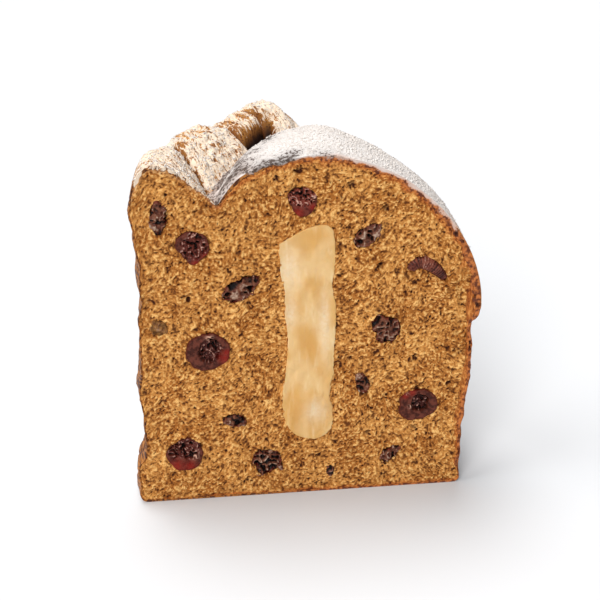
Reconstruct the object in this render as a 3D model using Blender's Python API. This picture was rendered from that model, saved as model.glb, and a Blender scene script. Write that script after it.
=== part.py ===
"""Half of a tall filled panettone, standing on its base with the cut face towards -Y.

The loaf, crumb and crust together, is one solid. A column of cream runs down its middle, and
candied cherries and raisins sit in sockets in the cut face. The origin is on the flat base,
on the loaf's centre line in X and midway between the cut face and the back.
"""

import math

import bmesh
import bpy
import numpy as np

MM = 0.001

# Driving dimensions of the loaf
MOULD_RADIUS = 86.0 * MM
LOAF_HEIGHT = 192.5 * MM
CUT_OFFSET = 8.0 * MM
PIECE_DEPTH = 97.0 * MM
CUT_Y = -PIECE_DEPTH / 2
AXIS_Y = CUT_Y + CUT_OFFSET

# Unevenness of the moulded side: swellings on the left as height, middle and half width, the
# bulge at its foot, the taper of the right side, and slow waves as height, turns with bearing
# and turns with height
LEFT_SWELLINGS = ((2.0 * MM, 64.0 * MM, 14.0 * MM), (2.2 * MM, 168.0 * MM, 14.0 * MM))
LEFT_FOOT_BULGE = 4.2 * MM
LEFT_FOOT_TOP = 28.0 * MM
LEFT_FOOT_FULL = 22.0 * MM
RIGHT_TAPER = 3.4 * MM
RIGHT_TAPER_TOP = 80.0 * MM
RIGHT_TAPER_FULL = 8.0 * MM
SIDE_WAVES = ((0.5 * MM, 0.21, 95.0), (-0.4 * MM, 0.13, -310.0))

# The crown's dome, which spills over the mould's rim as a lip on the right and at the back
LIP_HEIGHT = 108.0 * MM
LIP_UNDERSIDE = 98.0 * MM
LIP_OVERHANG = 4.6 * MM
DOME_X = 4.0 * MM
DOME_SIDE_POWER = 1.85
DOME_BACK_POWER = 2.6
DOME_BACK_RISE = 6.0 * MM

# The torn ring of crust that stands along the left side and the back, in degrees from the left
RIDGE_RADIUS = 76.5 * MM
RIDGE_BEARINGS = (-12.0, 30.0, 45.0, 56.0, 60.0, 73.0, 80.0, 91.0, 101.0, 113.0, 126.0)
RIDGE_HEIGHTS = (190.0, 190.0, 191.0, 188.0, 190.0, 195.0, 198.0, 184.0, 164.0, 132.0, 95.0)
RING_CORNER_DROP = 12.0 * MM
RING_CORNER_POWER = 2.5
RING_INNER_DROP = 20.0 * MM
RING_WIDTH_FRONT = 32.0 * MM
RING_WIDTH_BACK = 16.0 * MM

# The crease where the dome rolls down against the ring: its radius about the axis by bearing
CREASE_BEARINGS = (0.0, 17.0, 46.0, 65.0, 90.0)
CREASE_RADII = (45.0, 43.0, 52.0, 60.0, 68.0)
CREASE_ROLL = 6.5 * MM
CREASE_ROLL_WIDTH = 12.0 * MM
CREASE_FILLET = 1.6 * MM

# Clefts between the ring's folds: bearing, depth and half width in degrees
CLEFTS = ((28.0, 6.0 * MM, 3.8), (57.5, 5.0 * MM, 2.6), (76.0, 7.0 * MM, 2.6))
CLEFT_SLANT = 1.05 / MM
CLEFT_SLANT_END = 60.0

# How the sphere that becomes the loaf is divided: rows over the crown, down the side, round the
# foot and across the base, and how far its columns are drawn together on the left
SIDE_SEGMENTS = 64
CROWN_ROWS = 22
SIDE_ROWS = 14
FOOT_ROWS = 2
BASE_ROWS = 2
ROWS = CROWN_ROWS + SIDE_ROWS + FOOT_ROWS + BASE_ROWS
COLUMN_DRAW = 0.33
LIP_ROW_DRAW = 0.8
FOOT_RADIUS = 4.0 * MM

# Fit of a piece in its socket
SOCKET_GAP = 0.4 * MM
FRUIT_PROUD = 1.2 * MM

# The cream column: its ends, its edges on the cut, the flare of its top, the narrowing and the
# sideways shift of its toe, and the slope of its upper end
CREAM_BOTTOM = 33.5 * MM
CREAM_TOP = 152.5 * MM
CREAM_LEFT = -12.2 * MM
CREAM_RIGHT = 12.6 * MM
CREAM_DEPTH = 21.0 * MM
CREAM_PROUD = 0.6 * MM
CREAM_FLARE = 2.2 * MM
CREAM_FLARE_START = 128.0 * MM
CREAM_FLARE_FULL = 146.0 * MM
CREAM_TOE = 16.0 * MM
CREAM_TOE_NARROWING = 0.35
CREAM_TOE_SHIFT = 2.0 * MM
CREAM_TOP_SLOPE = 0.21
CREAM_TOP_SLOPE_START = 135.0 * MM
CREAM_END_SQUARENESS = 5.0
CREAM_LEFT_WAVES = ((0.9 * MM, 95.0, -0.6),)
CREAM_RIGHT_WAVES = ((1.2 * MM, 180.0, 0.2), (0.5 * MM, 67.0, 0.0))

# Fruit: name, x and height of its middle, width and height, depth, tilt in degrees
CHERRIES = (
    ("cherry_1", -58.0, 147.0, 16.0, 18.0, 8.0, 0.0),
    ("cherry_2", -3.5, 169.0, 13.5, 15.5, 7.0, 10.0),
    ("cherry_3", -51.5, 89.0, 23.5, 22.0, 10.0, -8.0),
    ("cherry_4", 59.0, 50.5, 22.5, 20.5, 9.0, -10.0),
    ("cherry_5", -66.0, 28.5, 19.5, 21.0, 9.0, 0.0),
)
RAISINS = (
    ("raisin_1", -74.5, 163.0, 7.5, 16.0, 5.0, 10.0),
    ("raisin_2", -35.0, 123.0, 20.5, 10.5, 6.0, 24.0),
    ("raisin_3", 29.5, 149.0, 17.0, 9.5, 5.5, 36.0),
    ("raisin_4", 41.0, 96.5, 16.5, 18.0, 8.0, 0.0),
    ("raisin_5", 28.5, 65.5, 7.0, 14.0, 4.5, -18.0),
    ("raisin_6", -39.0, 47.5, 13.5, 7.5, 4.5, -8.0),
    ("raisin_7", -21.5, 21.0, 17.0, 17.5, 7.0, 0.0),
    ("raisin_8", 44.5, 21.0, 13.0, 8.5, 5.0, 32.0),
    ("raisin_9", 12.5, 12.5, 4.5, 6.5, 4.0, 0.0),
    ("raisin_10", -76.0, 103.0, 9.0, 8.5, 5.0, 0.0),
)

# How deeply the fruit's skin swells and sinks
CHERRY_LUMPS = 0.05
RAISIN_LUMPS = 0.10

# The curled strip of candied peel, hooked at its left end: x, height and radius along it
PEEL_PATH = (
    (53.4, 127.0, 2.0),
    (52.8, 129.6, 2.8),
    (54.6, 132.6, 3.2),
    (58.6, 134.0, 3.4),
    (62.6, 132.4, 3.4),
    (66.2, 129.2, 3.2),
    (69.0, 125.8, 2.6),
    (70.8, 122.8, 1.2),
)
PEEL_DEPTH = 2.2 * MM

COLOURS = {
    "crumb": ((0.42, 0.18, 0.05), 0.9),
    "crust": ((0.30, 0.10, 0.03), 0.75),
    "cream": ((0.83, 0.56, 0.26), 0.35),
    "cherry": ((0.12, 0.015, 0.012), 0.25),
    "raisin": ((0.035, 0.014, 0.01), 0.45),
    "peel": ((0.13, 0.03, 0.025), 0.35),
}


def clear_scene():
    for obj in list(bpy.data.objects):
        bpy.data.objects.remove(obj, do_unlink=True)


def make_collection(name):
    collection = bpy.data.collections.new(name)
    bpy.context.scene.collection.children.link(collection)
    return collection


def make_material(name):
    colour, roughness = COLOURS[name]
    material = bpy.data.materials.new(name)
    material.use_nodes = True
    shader = material.node_tree.nodes["Principled BSDF"]
    shader.inputs["Base Color"].default_value = (*colour, 1.0)
    shader.inputs["Roughness"].default_value = roughness
    shader.inputs["Metallic"].default_value = 0.0
    return material


def smooth_step(value, start, end):
    """0 before start, 1 after end, and an even curve between."""
    share = np.clip((value - start) / (end - start), 0.0, 1.0)
    return share * share * (3.0 - 2.0 * share)


def bump(value, middle, half_width):
    """A bell of height 1 about the middle."""
    return np.exp(-(((value - middle) / half_width) ** 2))


def bearing_of(x, y):
    """Degrees about the loaf's axis: 0 at the left, 90 at the back and 180 at the right."""
    bearing = np.degrees(np.arctan2(y - AXIS_Y, -x))
    return np.where(bearing < -90.0, bearing + 360.0, bearing)


def lip_share(bearing):
    """How far the crown spills over the mould's rim: 0 along the ring, 1 on the right."""
    return smooth_step(bearing, 90.0, 125.0)


def side_radius(bearing, z):
    """Radius of the moulded side. The left bulges at its foot, and the right narrows to its foot."""
    left = smooth_step(bearing, 70.0, 10.0)
    right = smooth_step(bearing, 110.0, 170.0)
    radius = MOULD_RADIUS + left * LEFT_FOOT_BULGE * smooth_step(z, LEFT_FOOT_TOP, LEFT_FOOT_FULL)
    for height, middle, half_width in LEFT_SWELLINGS:
        radius += left * height * bump(z, middle, half_width)
    radius -= right * RIGHT_TAPER * smooth_step(z, RIGHT_TAPER_TOP, RIGHT_TAPER_FULL)
    for height, round_turns, rising_turns in SIDE_WAVES:
        radius += height * np.sin(bearing * round_turns + z * rising_turns)
    return radius


def rim_radius(bearing):
    """Radius of the crown's edge: that of the side under it, and the lip's overhang."""
    spill = lip_share(bearing)
    edge_height = RIDGE_HEIGHTS[0] * MM - RING_CORNER_DROP
    under = side_radius(bearing, edge_height + (LIP_HEIGHT - edge_height) * spill)
    return under + LIP_OVERHANG * spill


def dome_height(x, y):
    """A superellipse dome about a point on the cut, whose rim is the lip's circle about the axis."""
    dx = x - DOME_X
    dy = y - CUT_Y
    reach = np.maximum(np.hypot(dx, dy), 1e-6)
    ux, uy = dx / reach, dy / reach
    rim = rim_radius(bearing_of(x, y))
    along = DOME_X * ux - CUT_OFFSET * uy
    limit = -along + np.sqrt(along**2 - DOME_X**2 - CUT_OFFSET**2 + rim**2)
    share = np.clip(reach / limit, 0.0, 1.0)
    power = DOME_SIDE_POWER + (DOME_BACK_POWER - DOME_SIDE_POWER) * uy**2
    rise = DOME_BACK_RISE * np.sin(np.pi * np.clip(dy / PIECE_DEPTH, 0, 1)) * (1 - share**4)
    height = LIP_HEIGHT + (LOAF_HEIGHT - LIP_HEIGHT) * (1 - share**power) ** (1 / power) + rise
    radius = np.hypot(x, y - AXIS_Y)
    crease = np.interp(bearing_of(x, y), CREASE_BEARINGS, CREASE_RADII) * MM
    rolled = np.clip((radius - crease) / CREASE_ROLL_WIDTH + 1.0, 0.0, 1.0)
    return height - CREASE_ROLL * rolled**2 * (1 - lip_share(bearing_of(x, y)))


def ring_height(x, y):
    """The torn ring: a ridge at a fixed radius, a curved slope inwards, and clefts across it."""
    radius = np.hypot(x, y - AXIS_Y)
    bearing = bearing_of(x, y)
    inside = np.maximum(RIDGE_RADIUS - radius, 0.0)
    outside = np.maximum(radius - RIDGE_RADIUS, 0.0)
    fold = bearing + CLEFT_SLANT * inside * np.clip(1 - bearing / CLEFT_SLANT_END, 0.0, 1.1)
    height = np.interp(fold, RIDGE_BEARINGS, RIDGE_HEIGHTS) * MM
    width = RING_WIDTH_FRONT + (RING_WIDTH_BACK - RING_WIDTH_FRONT) * smooth_step(bearing, 10.0, 80.0)
    corner = rim_radius(bearing) - RIDGE_RADIUS
    height -= RING_INNER_DROP * (inside / width) ** 2
    height -= RING_CORNER_DROP * (outside / corner) ** RING_CORNER_POWER
    for middle, depth, half_width in CLEFTS:
        height -= depth * bump(fold, middle, half_width)
    return height


def crown_height(x, y):
    """The higher of the dome and the ring, with a small fillet in the crease between them."""
    dome = dome_height(x, y)
    ring = ring_height(x, y)
    return (dome + ring + np.sqrt((dome - ring) ** 2 + 4 * CREASE_FILLET**2)) / 2


def reach_of(turn, radius):
    """Distance from the grid's middle, on the cut, to a circle of this radius about the axis."""
    return CUT_OFFSET * np.sin(turn) + np.sqrt(radius**2 - (CUT_OFFSET * np.cos(turn)) ** 2)


def loaf_surface(turn, row):
    """Places for the sphere's vertices, by column and row.

    Crown rows lie at sines of even angles out to the rim, at the height of the dome or the ring.
    Side rows run down from the rim, close together under the lip, then round the foot.
    """
    edge = reach_of(turn, MOULD_RADIUS)
    bearing = bearing_of(edge * np.cos(turn), CUT_Y + edge * np.sin(turn))
    spill = lip_share(bearing)
    rim = rim_radius(bearing)
    reach = reach_of(turn, rim)
    crown_share = np.clip(row / CROWN_ROWS, 0.0, 1.0)
    out = reach * np.sin(crown_share * math.pi / 2)
    x = out * np.cos(turn)
    y = CUT_Y + out * np.sin(turn)
    crown_z = crown_height(x, y)

    rim_x = reach * np.cos(turn)
    rim_y = CUT_Y + reach * np.sin(turn)
    rim_z = crown_height(rim_x, rim_y)
    side_share = np.clip((row - CROWN_ROWS) / SIDE_ROWS, 0.0, 1.0)
    side_z = rim_z - (rim_z - FOOT_RADIUS) * side_share ** (1 + LIP_ROW_DRAW * spill)
    foot_angle = np.clip((row - CROWN_ROWS - SIDE_ROWS) / FOOT_ROWS, 0.0, 1.0) * math.pi / 2
    side_z -= FOOT_RADIUS * np.sin(foot_angle)
    lip_curl = np.clip((rim_z - side_z) / (LIP_HEIGHT - LIP_UNDERSIDE), 0.0, 1.0)
    overhang = rim - side_radius(bearing, rim_z)
    radius = side_radius(bearing, side_z) + overhang * np.sqrt(1 - lip_curl**2)
    radius -= FOOT_RADIUS * (1 - np.cos(foot_angle))
    base_share = np.clip((row - ROWS + BASE_ROWS) / BASE_ROWS, 0.0, 1.0)
    side_out = reach_of(turn, radius) * (1 - base_share)

    on_crown = row < CROWN_ROWS
    x = np.where(on_crown, x, side_out * np.cos(turn))
    y = np.where(on_crown, y, CUT_Y + side_out * np.sin(turn))
    return np.stack([x, y, np.where(on_crown, crown_z, side_z)], axis=1)


def make_loaf(collection, crumb, crust):
    """A sphere laid over the loaf's surface, with the half in front of the cut taken away."""
    bm = bmesh.new()
    bmesh.ops.create_uvsphere(bm, u_segments=2 * SIDE_SEGMENTS, v_segments=ROWS, radius=1.0)
    unit = np.array([v.co for v in bm.verts])
    turn = np.arctan2(unit[:, 1], unit[:, 0])
    behind = turn > -1e-4
    turn = np.abs(turn)
    turn += COLUMN_DRAW * np.sin(turn)
    row = np.arccos(np.clip(unit[:, 2], -1, 1)) / math.pi * ROWS
    places = loaf_surface(turn, np.round(row))
    # Before the cut the front half mirrors the back half
    places[:, 1] = np.where(behind, places[:, 1], 2 * CUT_Y - places[:, 1])
    for vertex, place in zip(bm.verts, places):
        vertex.co = place
    bmesh.ops.bisect_plane(
        bm,
        geom=[*bm.verts, *bm.edges, *bm.faces],
        dist=1e-5,
        plane_co=(0.0, CUT_Y, 0.0),
        plane_no=(0.0, -1.0, 0.0),
        clear_outer=True,
    )
    for face in bm.faces:
        face.material_index = 1
        face.smooth = True
    edges = [edge for edge in bm.edges if edge.is_boundary]
    bmesh.ops.holes_fill(bm, edges=edges, sides=0)
    bmesh.ops.recalc_face_normals(bm, faces=bm.faces)
    mesh = bpy.data.meshes.new("loaf")
    bm.to_mesh(mesh)
    bm.free()
    loaf = bpy.data.objects.new("loaf", mesh)
    loaf.data.materials.append(crumb)
    loaf.data.materials.append(crust)
    collection.objects.link(loaf)
    return loaf


def lumps(unit, seed, height):
    """Uneven swelling of a fruit: a few waves in seeded directions over its sphere."""
    random = np.random.default_rng(seed)
    swelling = np.ones(len(unit))
    for count in (2.0, 3.5, 5.0):
        way = random.normal(size=3)
        way /= np.linalg.norm(way)
        swelling += height / count * 2 * np.sin(count * unit @ way * 1.6 + random.uniform(0, 6.28))
    return swelling


def fruit_mesh(name, width, height, depth, seed, lump_height, gap, segments, rows):
    """A lumpy ellipsoid whose front is flattened to stand just proud of the cut."""
    bm = bmesh.new()
    bmesh.ops.create_uvsphere(bm, u_segments=segments, v_segments=rows, radius=1.0)
    unit = np.array([v.co for v in bm.verts])
    front = unit[:, 1] < 0
    half = np.stack(
        [
            np.full(len(unit), width / 2),
            np.where(front, FRUIT_PROUD, depth),
            np.full(len(unit), height / 2),
        ],
        axis=1,
    )
    places = unit * half * lumps(unit, seed, lump_height)[:, None]
    # The gap widens the piece square to its surface, which makes the cutter of its socket
    outward = unit / half
    places += gap * outward / np.linalg.norm(outward, axis=1)[:, None]
    for vertex, place in zip(bm.verts, places):
        vertex.co = place
    mesh = bpy.data.meshes.new(name)
    bm.to_mesh(mesh)
    bm.free()
    mesh.shade_smooth()
    return mesh


def place_piece(name, mesh, collection, x, z, tilt, material):
    obj = bpy.data.objects.new(name, mesh)
    obj.location = (x, CUT_Y, z)
    obj.rotation_euler = (0.0, -math.radians(tilt), 0.0)
    obj.data.materials.append(material)
    collection.objects.link(obj)


def make_fruit(rows, material, lump_height, segments, rings, parts, cutters):
    for number, (name, x, z, width, height, depth, tilt) in enumerate(rows):
        size = (width * MM, height * MM, depth * MM)
        shape = (100 + number, lump_height)
        grid = (segments, rings)
        mesh = fruit_mesh(name, *size, *shape, 0.0, *grid)
        socket = fruit_mesh(name + "_socket", *size, *shape, SOCKET_GAP, *grid)
        place_piece(name, mesh, parts, x * MM, z * MM, tilt, material)
        place_piece(name + "_socket", socket, cutters, x * MM, z * MM, tilt, material)


def make_peel(name, gap, collection, material):
    """A tapering round bar bent along a path, made a mesh so that it can be cut and can cut."""
    curve = bpy.data.curves.new(name, "CURVE")
    curve.dimensions = "3D"
    curve.bevel_depth = 1.0
    curve.bevel_resolution = 3
    curve.resolution_u = 3
    curve.use_fill_caps = True
    spline = curve.splines.new("NURBS")
    spline.points.add(len(PEEL_PATH) - 1)
    spline.order_u = 3
    spline.use_endpoint_u = True
    ends = (0, len(PEEL_PATH) - 1)
    for number, (x, z, radius) in enumerate(PEEL_PATH):
        # Both ends point down, and the socket runs past them by the gap
        overrun = gap if number in ends else 0.0
        spline.points[number].co = (x * MM, CUT_Y + PEEL_DEPTH, z * MM - overrun, 1.0)
        spline.points[number].radius = radius * MM + gap
    guide = bpy.data.objects.new(name + "_curve", curve)
    bpy.context.scene.collection.objects.link(guide)
    depsgraph = bpy.context.evaluated_depsgraph_get()
    mesh = bpy.data.meshes.new_from_object(guide.evaluated_get(depsgraph))
    bm = bmesh.new()
    bm.from_mesh(mesh)
    bmesh.ops.remove_doubles(bm, verts=bm.verts, dist=0.01 * MM)
    bmesh.ops.recalc_face_normals(bm, faces=bm.faces)
    bm.to_mesh(mesh)
    bm.free()
    mesh.name = name
    mesh.shade_smooth()
    mesh.set_sharp_from_angle(angle=math.radians(50))
    obj = bpy.data.objects.new(name, mesh)
    obj.matrix_world = guide.matrix_world
    obj.data.materials.clear()
    obj.data.materials.append(material)
    collection.objects.link(obj)
    bpy.data.objects.remove(guide, do_unlink=True)


def cream_edges(z):
    """X of the cream's left and right edges on the cut, which waver as they run down."""
    left = CREAM_LEFT - CREAM_FLARE * smooth_step(z, CREAM_FLARE_START, CREAM_FLARE_FULL)
    for height, turns, start in CREAM_LEFT_WAVES:
        left += height * np.sin(z * turns + start)
    right = np.full_like(z, CREAM_RIGHT)
    for height, turns, start in CREAM_RIGHT_WAVES:
        right += height * np.sin(z * turns + start)
    return left, right


def make_cream(name, gap, collection, material):
    """A sphere squared into a column: flat at the cut, round at the back, its top end slanted."""
    bm = bmesh.new()
    bmesh.ops.create_uvsphere(bm, u_segments=16, v_segments=20, radius=1.0)
    unit = np.array([v.co for v in bm.verts])
    tall = unit[:, 2]
    fullness = (1 - np.abs(tall) ** CREAM_END_SQUARENESS) ** (1 / CREAM_END_SQUARENESS)
    level = np.maximum(np.hypot(unit[:, 0], unit[:, 1]), 1e-6)
    across = unit[:, 0] / level
    inward = unit[:, 1] / level
    z = (CREAM_TOP + CREAM_BOTTOM) / 2 + (CREAM_TOP - CREAM_BOTTOM + 2 * gap) / 2 * tall
    left, right = cream_edges(z)
    toe = smooth_step(z, CREAM_BOTTOM + CREAM_TOE, CREAM_BOTTOM)
    middle = (left + right) / 2 + CREAM_TOE_SHIFT * toe
    half = (right - left) / 2 * (1 - CREAM_TOE_NARROWING * toe) + gap
    x = middle + half * fullness * across
    reach = np.where(inward < 0, CREAM_PROUD + gap, CREAM_DEPTH + gap)
    y = CUT_Y + reach * fullness * inward
    z += CREAM_TOP_SLOPE * x * smooth_step(z, CREAM_TOP_SLOPE_START, CREAM_TOP)
    for vertex, place in zip(bm.verts, np.stack([x, y, z], axis=1)):
        vertex.co = place
    mesh = bpy.data.meshes.new(name)
    bm.to_mesh(mesh)
    bm.free()
    mesh.shade_smooth()
    obj = bpy.data.objects.new(name, mesh)
    obj.data.materials.append(material)
    collection.objects.link(obj)


def hide_cutters(cutters):
    for cutter in cutters.objects:
        cutter.hide_render = True
        cutter.display_type = "WIRE"


def cut_sockets(loaf, cutters):
    cut = loaf.modifiers.new("sockets", "BOOLEAN")
    cut.operation = "DIFFERENCE"
    cut.operand_type = "COLLECTION"
    cut.collection = cutters
    cut.solver = "EXACT"


def main():
    clear_scene()
    parts = make_collection("panettone")
    cutters = make_collection("sockets")
    materials = {name: make_material(name) for name in COLOURS}
    loaf = make_loaf(parts, materials["crumb"], materials["crust"])
    make_cream("cream", 0.0, parts, materials["cream"])
    make_cream("cream_socket", SOCKET_GAP, cutters, materials["cream"])
    make_fruit(CHERRIES, materials["cherry"], CHERRY_LUMPS, 16, 10, parts, cutters)
    make_fruit(RAISINS, materials["raisin"], RAISIN_LUMPS, 12, 8, parts, cutters)
    make_peel("peel", 0.0, parts, materials["peel"])
    make_peel("peel_socket", SOCKET_GAP, cutters, materials["peel"])
    hide_cutters(cutters)
    cut_sockets(loaf, cutters)


main()
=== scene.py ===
import math

import bpy
import numpy as np
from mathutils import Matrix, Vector


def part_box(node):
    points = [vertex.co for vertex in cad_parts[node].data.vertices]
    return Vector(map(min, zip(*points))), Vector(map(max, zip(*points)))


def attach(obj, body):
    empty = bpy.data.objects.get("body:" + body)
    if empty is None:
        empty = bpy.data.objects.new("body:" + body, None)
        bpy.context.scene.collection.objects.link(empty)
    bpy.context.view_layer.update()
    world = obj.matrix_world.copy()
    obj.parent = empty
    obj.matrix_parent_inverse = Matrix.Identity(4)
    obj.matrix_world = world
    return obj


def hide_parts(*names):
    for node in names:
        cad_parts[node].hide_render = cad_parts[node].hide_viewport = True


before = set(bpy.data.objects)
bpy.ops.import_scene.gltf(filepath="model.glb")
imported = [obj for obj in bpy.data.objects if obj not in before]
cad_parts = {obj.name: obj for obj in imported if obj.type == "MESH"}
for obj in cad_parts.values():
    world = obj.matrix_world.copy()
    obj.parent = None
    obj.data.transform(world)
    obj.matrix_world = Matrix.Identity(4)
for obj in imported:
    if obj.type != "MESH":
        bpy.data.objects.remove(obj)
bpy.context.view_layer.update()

# The loaf's outer form
#
# A rich yeast dough baked in a tall round mould, then cut down with a knife. Its crown rose as a
# dome, spilled over the rim on the right, and tore free of a ring of crust along the left and back.
# Sizes are millimetres, bearings are degrees about the loaf's axis.

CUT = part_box("loaf")[0].y * 1000.0
KNIFE_TO_AXIS = 8.0
AXIS = CUT + KNIFE_TO_AXIS
MOULD_RADIUS = 86.0
LEFT_SWELLING = 4.2
RIGHT_TAPER = 3.4
CROWN_TOP = 192.5
PIECE_DEPTH = 97.0
LIP_HEIGHT = 108.0
LIP_UNDERSIDE = 98.0
LIP_OVERHANG = 4.6
LIP_ROLL = LIP_HEIGHT - LIP_UNDERSIDE
DOME_X = 4.0
DOME_RISE = 6.0
RIDGE_RADIUS = 76.5
RIDGE_BEARINGS = (
    -12, 0, 6, 12, 20, 27, 33, 38, 45, 50, 57.4, 58.6,
    64, 71.4, 72.6, 76, 80, 82, 85, 88, 91, 101, 113, 126,
)
RIDGE_HEIGHTS = (
    190, 188.8, 186.4, 185.8, 186, 184.5, 182.5, 184.8, 186.7, 187.3, 184.5, 185.5,
    187.8, 191, 192.6, 194, 195, 193, 188.5, 186.5, 180, 162, 132, 95,
)
CREASE_BEARINGS = (0.0, 17.0, 46.0, 65.0, 78.0, 90.0)
CREASE_RADII = (45.0, 43.0, 46.0, 50.0, 58.0, 66.0)
CREASE_ROLL = 14.0
CREASE_DEPTH = 8.0
RING_WIDTH = 32.0
RING_NARROWING = 12.0
RING_FALL = 20.0
CORNER_FALL = 12.0
CLEFT_INSIDE = (0.0, 10.0, 20.0, 31.0)
CLEFT_RUNS = ((34.5, 29.0, 19.5, 3.0), (58.0, 63.5, 68.5, 73.0), (71.5, 78.0, 82.0, 87.0))
CLEFT_SHAPES = ((5.0, 1.5), (3.0, 1.1), (4.5, 1.3))
POCKET_START = np.array([-21.5, 15.5])
POCKET_RUN = np.array([8.5, 7.5])
POCKET_DEPTH = 16.0
TEAR_BEARING = 39.0
TEAR_INSIDE = 26.0


def ease(value, start, end):
    """0 before start and 1 after end, by 3 s squared less 2 s cubed between them."""
    share = np.clip((value - start) / (end - start), 0.0, 1.0)
    return share * share * (3.0 - 2.0 * share)


def hump(value, middle, half_width):
    """A bell: e to the minus square of the distance from the middle, in half widths."""
    return np.exp(-(((value - middle) / half_width) ** 2))


def dice(lattice, seed):
    """An even random number from 0 to 1 for each whole-number lattice point, by mixing its bits."""
    mixed = lattice[..., 0] * 73856093 ^ lattice[..., 1] * 19349663 ^ lattice[..., 2] * 83492791
    mixed = (mixed ^ seed * 2654435761) & 0xFFFFFFFF
    mixed = ((mixed ^ (mixed >> 15)) * 2246822519) & 0xFFFFFFFF
    mixed = ((mixed ^ (mixed >> 13)) * 1274126177) & 0xFFFFFFFF
    return ((mixed ^ (mixed >> 16)) & 0xFFFFFF) / 0x1000000


def noise(points, size, seed):
    """Smooth hills from -1 to 1: the lattice's random numbers, blended by eased shares of the way
    between its eight corners. size is the hills' width, as one number or three."""
    steps = points / np.asarray(size, float)
    low = np.floor(steps).astype(np.int64)
    share = steps - low
    share = share * share * (3.0 - 2.0 * share)
    total = 0.0
    for corner in range(8):
        step = np.array([corner & 1, corner >> 1 & 1, corner >> 2 & 1])
        weight = np.prod(np.where(step, share, 1.0 - share), axis=-1)
        total = total + weight * dice(low + step, seed)
    return 2.0 * total - 1.0


def bubbles(points, size, seed):
    """Cells about one scattered point in each lattice cube: the distance to the nearest point and
    to the next one, in cell widths, and the nearest point's own random number."""
    steps = points / np.asarray(size, float)
    low = np.floor(steps).astype(np.int64)
    nearest = np.full(steps.shape[:-1], 9.0)
    second = np.full(steps.shape[:-1], 9.0)
    owner = np.zeros(steps.shape[:-1])
    for number in range(27):
        corner = low + np.array([number % 3 - 1, number // 3 % 3 - 1, number // 9 - 1])
        scattered = np.stack([dice(corner, seed + way) for way in range(3)], axis=-1)
        distance = np.linalg.norm(corner + 0.1 + 0.8 * scattered - steps, axis=-1)
        closer = distance < nearest
        second = np.where(closer, nearest, np.minimum(second, distance))
        owner = np.where(closer, dice(corner, seed + 7), owner)
        nearest = np.where(closer, distance, nearest)
    return nearest, second, owner


def level(x, y):
    """Points at height 0, where a pattern is to be the same at every height."""
    return np.stack([x, y, 0.0 * x], axis=-1)


def bearing_of(x, y):
    """Degrees about the axis: 0 at the left, 90 at the back and 180 at the right."""
    bearing = np.degrees(np.arctan2(y - AXIS, -x))
    return np.where(bearing < -90.0, bearing + 360.0, bearing)


def radius_of(x, y):
    """Distance from the axis."""
    return np.hypot(x, y - AXIS)


def lip_share(bearing):
    """How far the dome spills over the rim: 0 along the ring, 1 on the right."""
    return ease(bearing, 90.0, 125.0)


def side_radius(bearing, z):
    """The mould's radius, with swellings on the left, a taper on the right and slow waves."""
    left = ease(bearing, 70.0, 10.0)
    right = ease(bearing, 110.0, 170.0)
    radius = MOULD_RADIUS + left * LEFT_SWELLING * ease(z, 28.0, 22.0)
    radius += left * (2.0 * hump(z, 64.0, 14.0) + 2.2 * hump(z, 168.0, 14.0))
    radius += right * (1.0 - RIGHT_TAPER * ease(z, 80.0, 8.0))
    return radius + 0.5 * np.sin(bearing * 0.21 + z * 0.095) - 0.4 * np.sin(bearing * 0.13 - z * 0.31)


def rim_radius(bearing):
    """Radius of the crown's edge: that of the side under it, and the lip's overhang."""
    spill = lip_share(bearing)
    return side_radius(bearing, 178.0 - 70.0 * spill) + LIP_OVERHANG * spill


def dome_height(x, y):
    """A superellipse from the top down to the lip, squarer towards the back, which rolls down
    into the crease beside the ring."""
    dx = x - DOME_X
    dy = y - CUT
    reach = np.maximum(np.hypot(dx, dy), 1e-6)
    ux = dx / reach
    uy = dy / reach
    bearing = bearing_of(x, y)
    rim = rim_radius(bearing)
    along = DOME_X * ux - KNIFE_TO_AXIS * uy
    limit = -along + np.sqrt(along**2 - DOME_X**2 - KNIFE_TO_AXIS**2 + rim**2)
    share = np.clip(reach / limit, 0.0, 1.0)
    power = 1.84 + 0.76 * uy**2
    swell = np.sin(np.pi * np.clip(dy / PIECE_DEPTH, 0.0, 1.0)) * (1.0 - share**4) * hump(x, 9.0, 23.0)
    height = LIP_HEIGHT + (CROWN_TOP - LIP_HEIGHT) * (1.0 - share**power) ** (1.0 / power)
    height += DOME_RISE * swell
    crease = np.interp(bearing, CREASE_BEARINGS, CREASE_RADII)
    rolled = np.clip((radius_of(x, y) - crease) / CREASE_ROLL + 1.0, 0.0, 1.0)
    return height - CREASE_DEPTH * rolled**2 * (1.0 - lip_share(bearing))


def fold_of(x, y):
    """The ridge bearing that a point of the ring belongs to. Three clefts run from the ridge to the
    crease, each with its bearing told at four distances inside the ridge, and between two of them
    the bearings are shared out evenly."""
    bearing = bearing_of(x, y)
    inside = np.maximum(RIDGE_RADIUS - radius_of(x, y), 0.0)
    first, second, third = (np.interp(inside, CLEFT_INSIDE, run) for run in CLEFT_RUNS)
    start, middle, end = (run[0] for run in CLEFT_RUNS)
    fold = np.where(
        bearing < second,
        start + (middle - start) * (bearing - first) / (second - first),
        middle + (end - middle) * (bearing - second) / (third - second),
    )
    fold = np.where(bearing < first, start + bearing - first, fold)
    fold = np.where(bearing > third, end + bearing - third, fold)
    return fold + 1.2 * noise(level(x, y), 7.0, 5)


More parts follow.
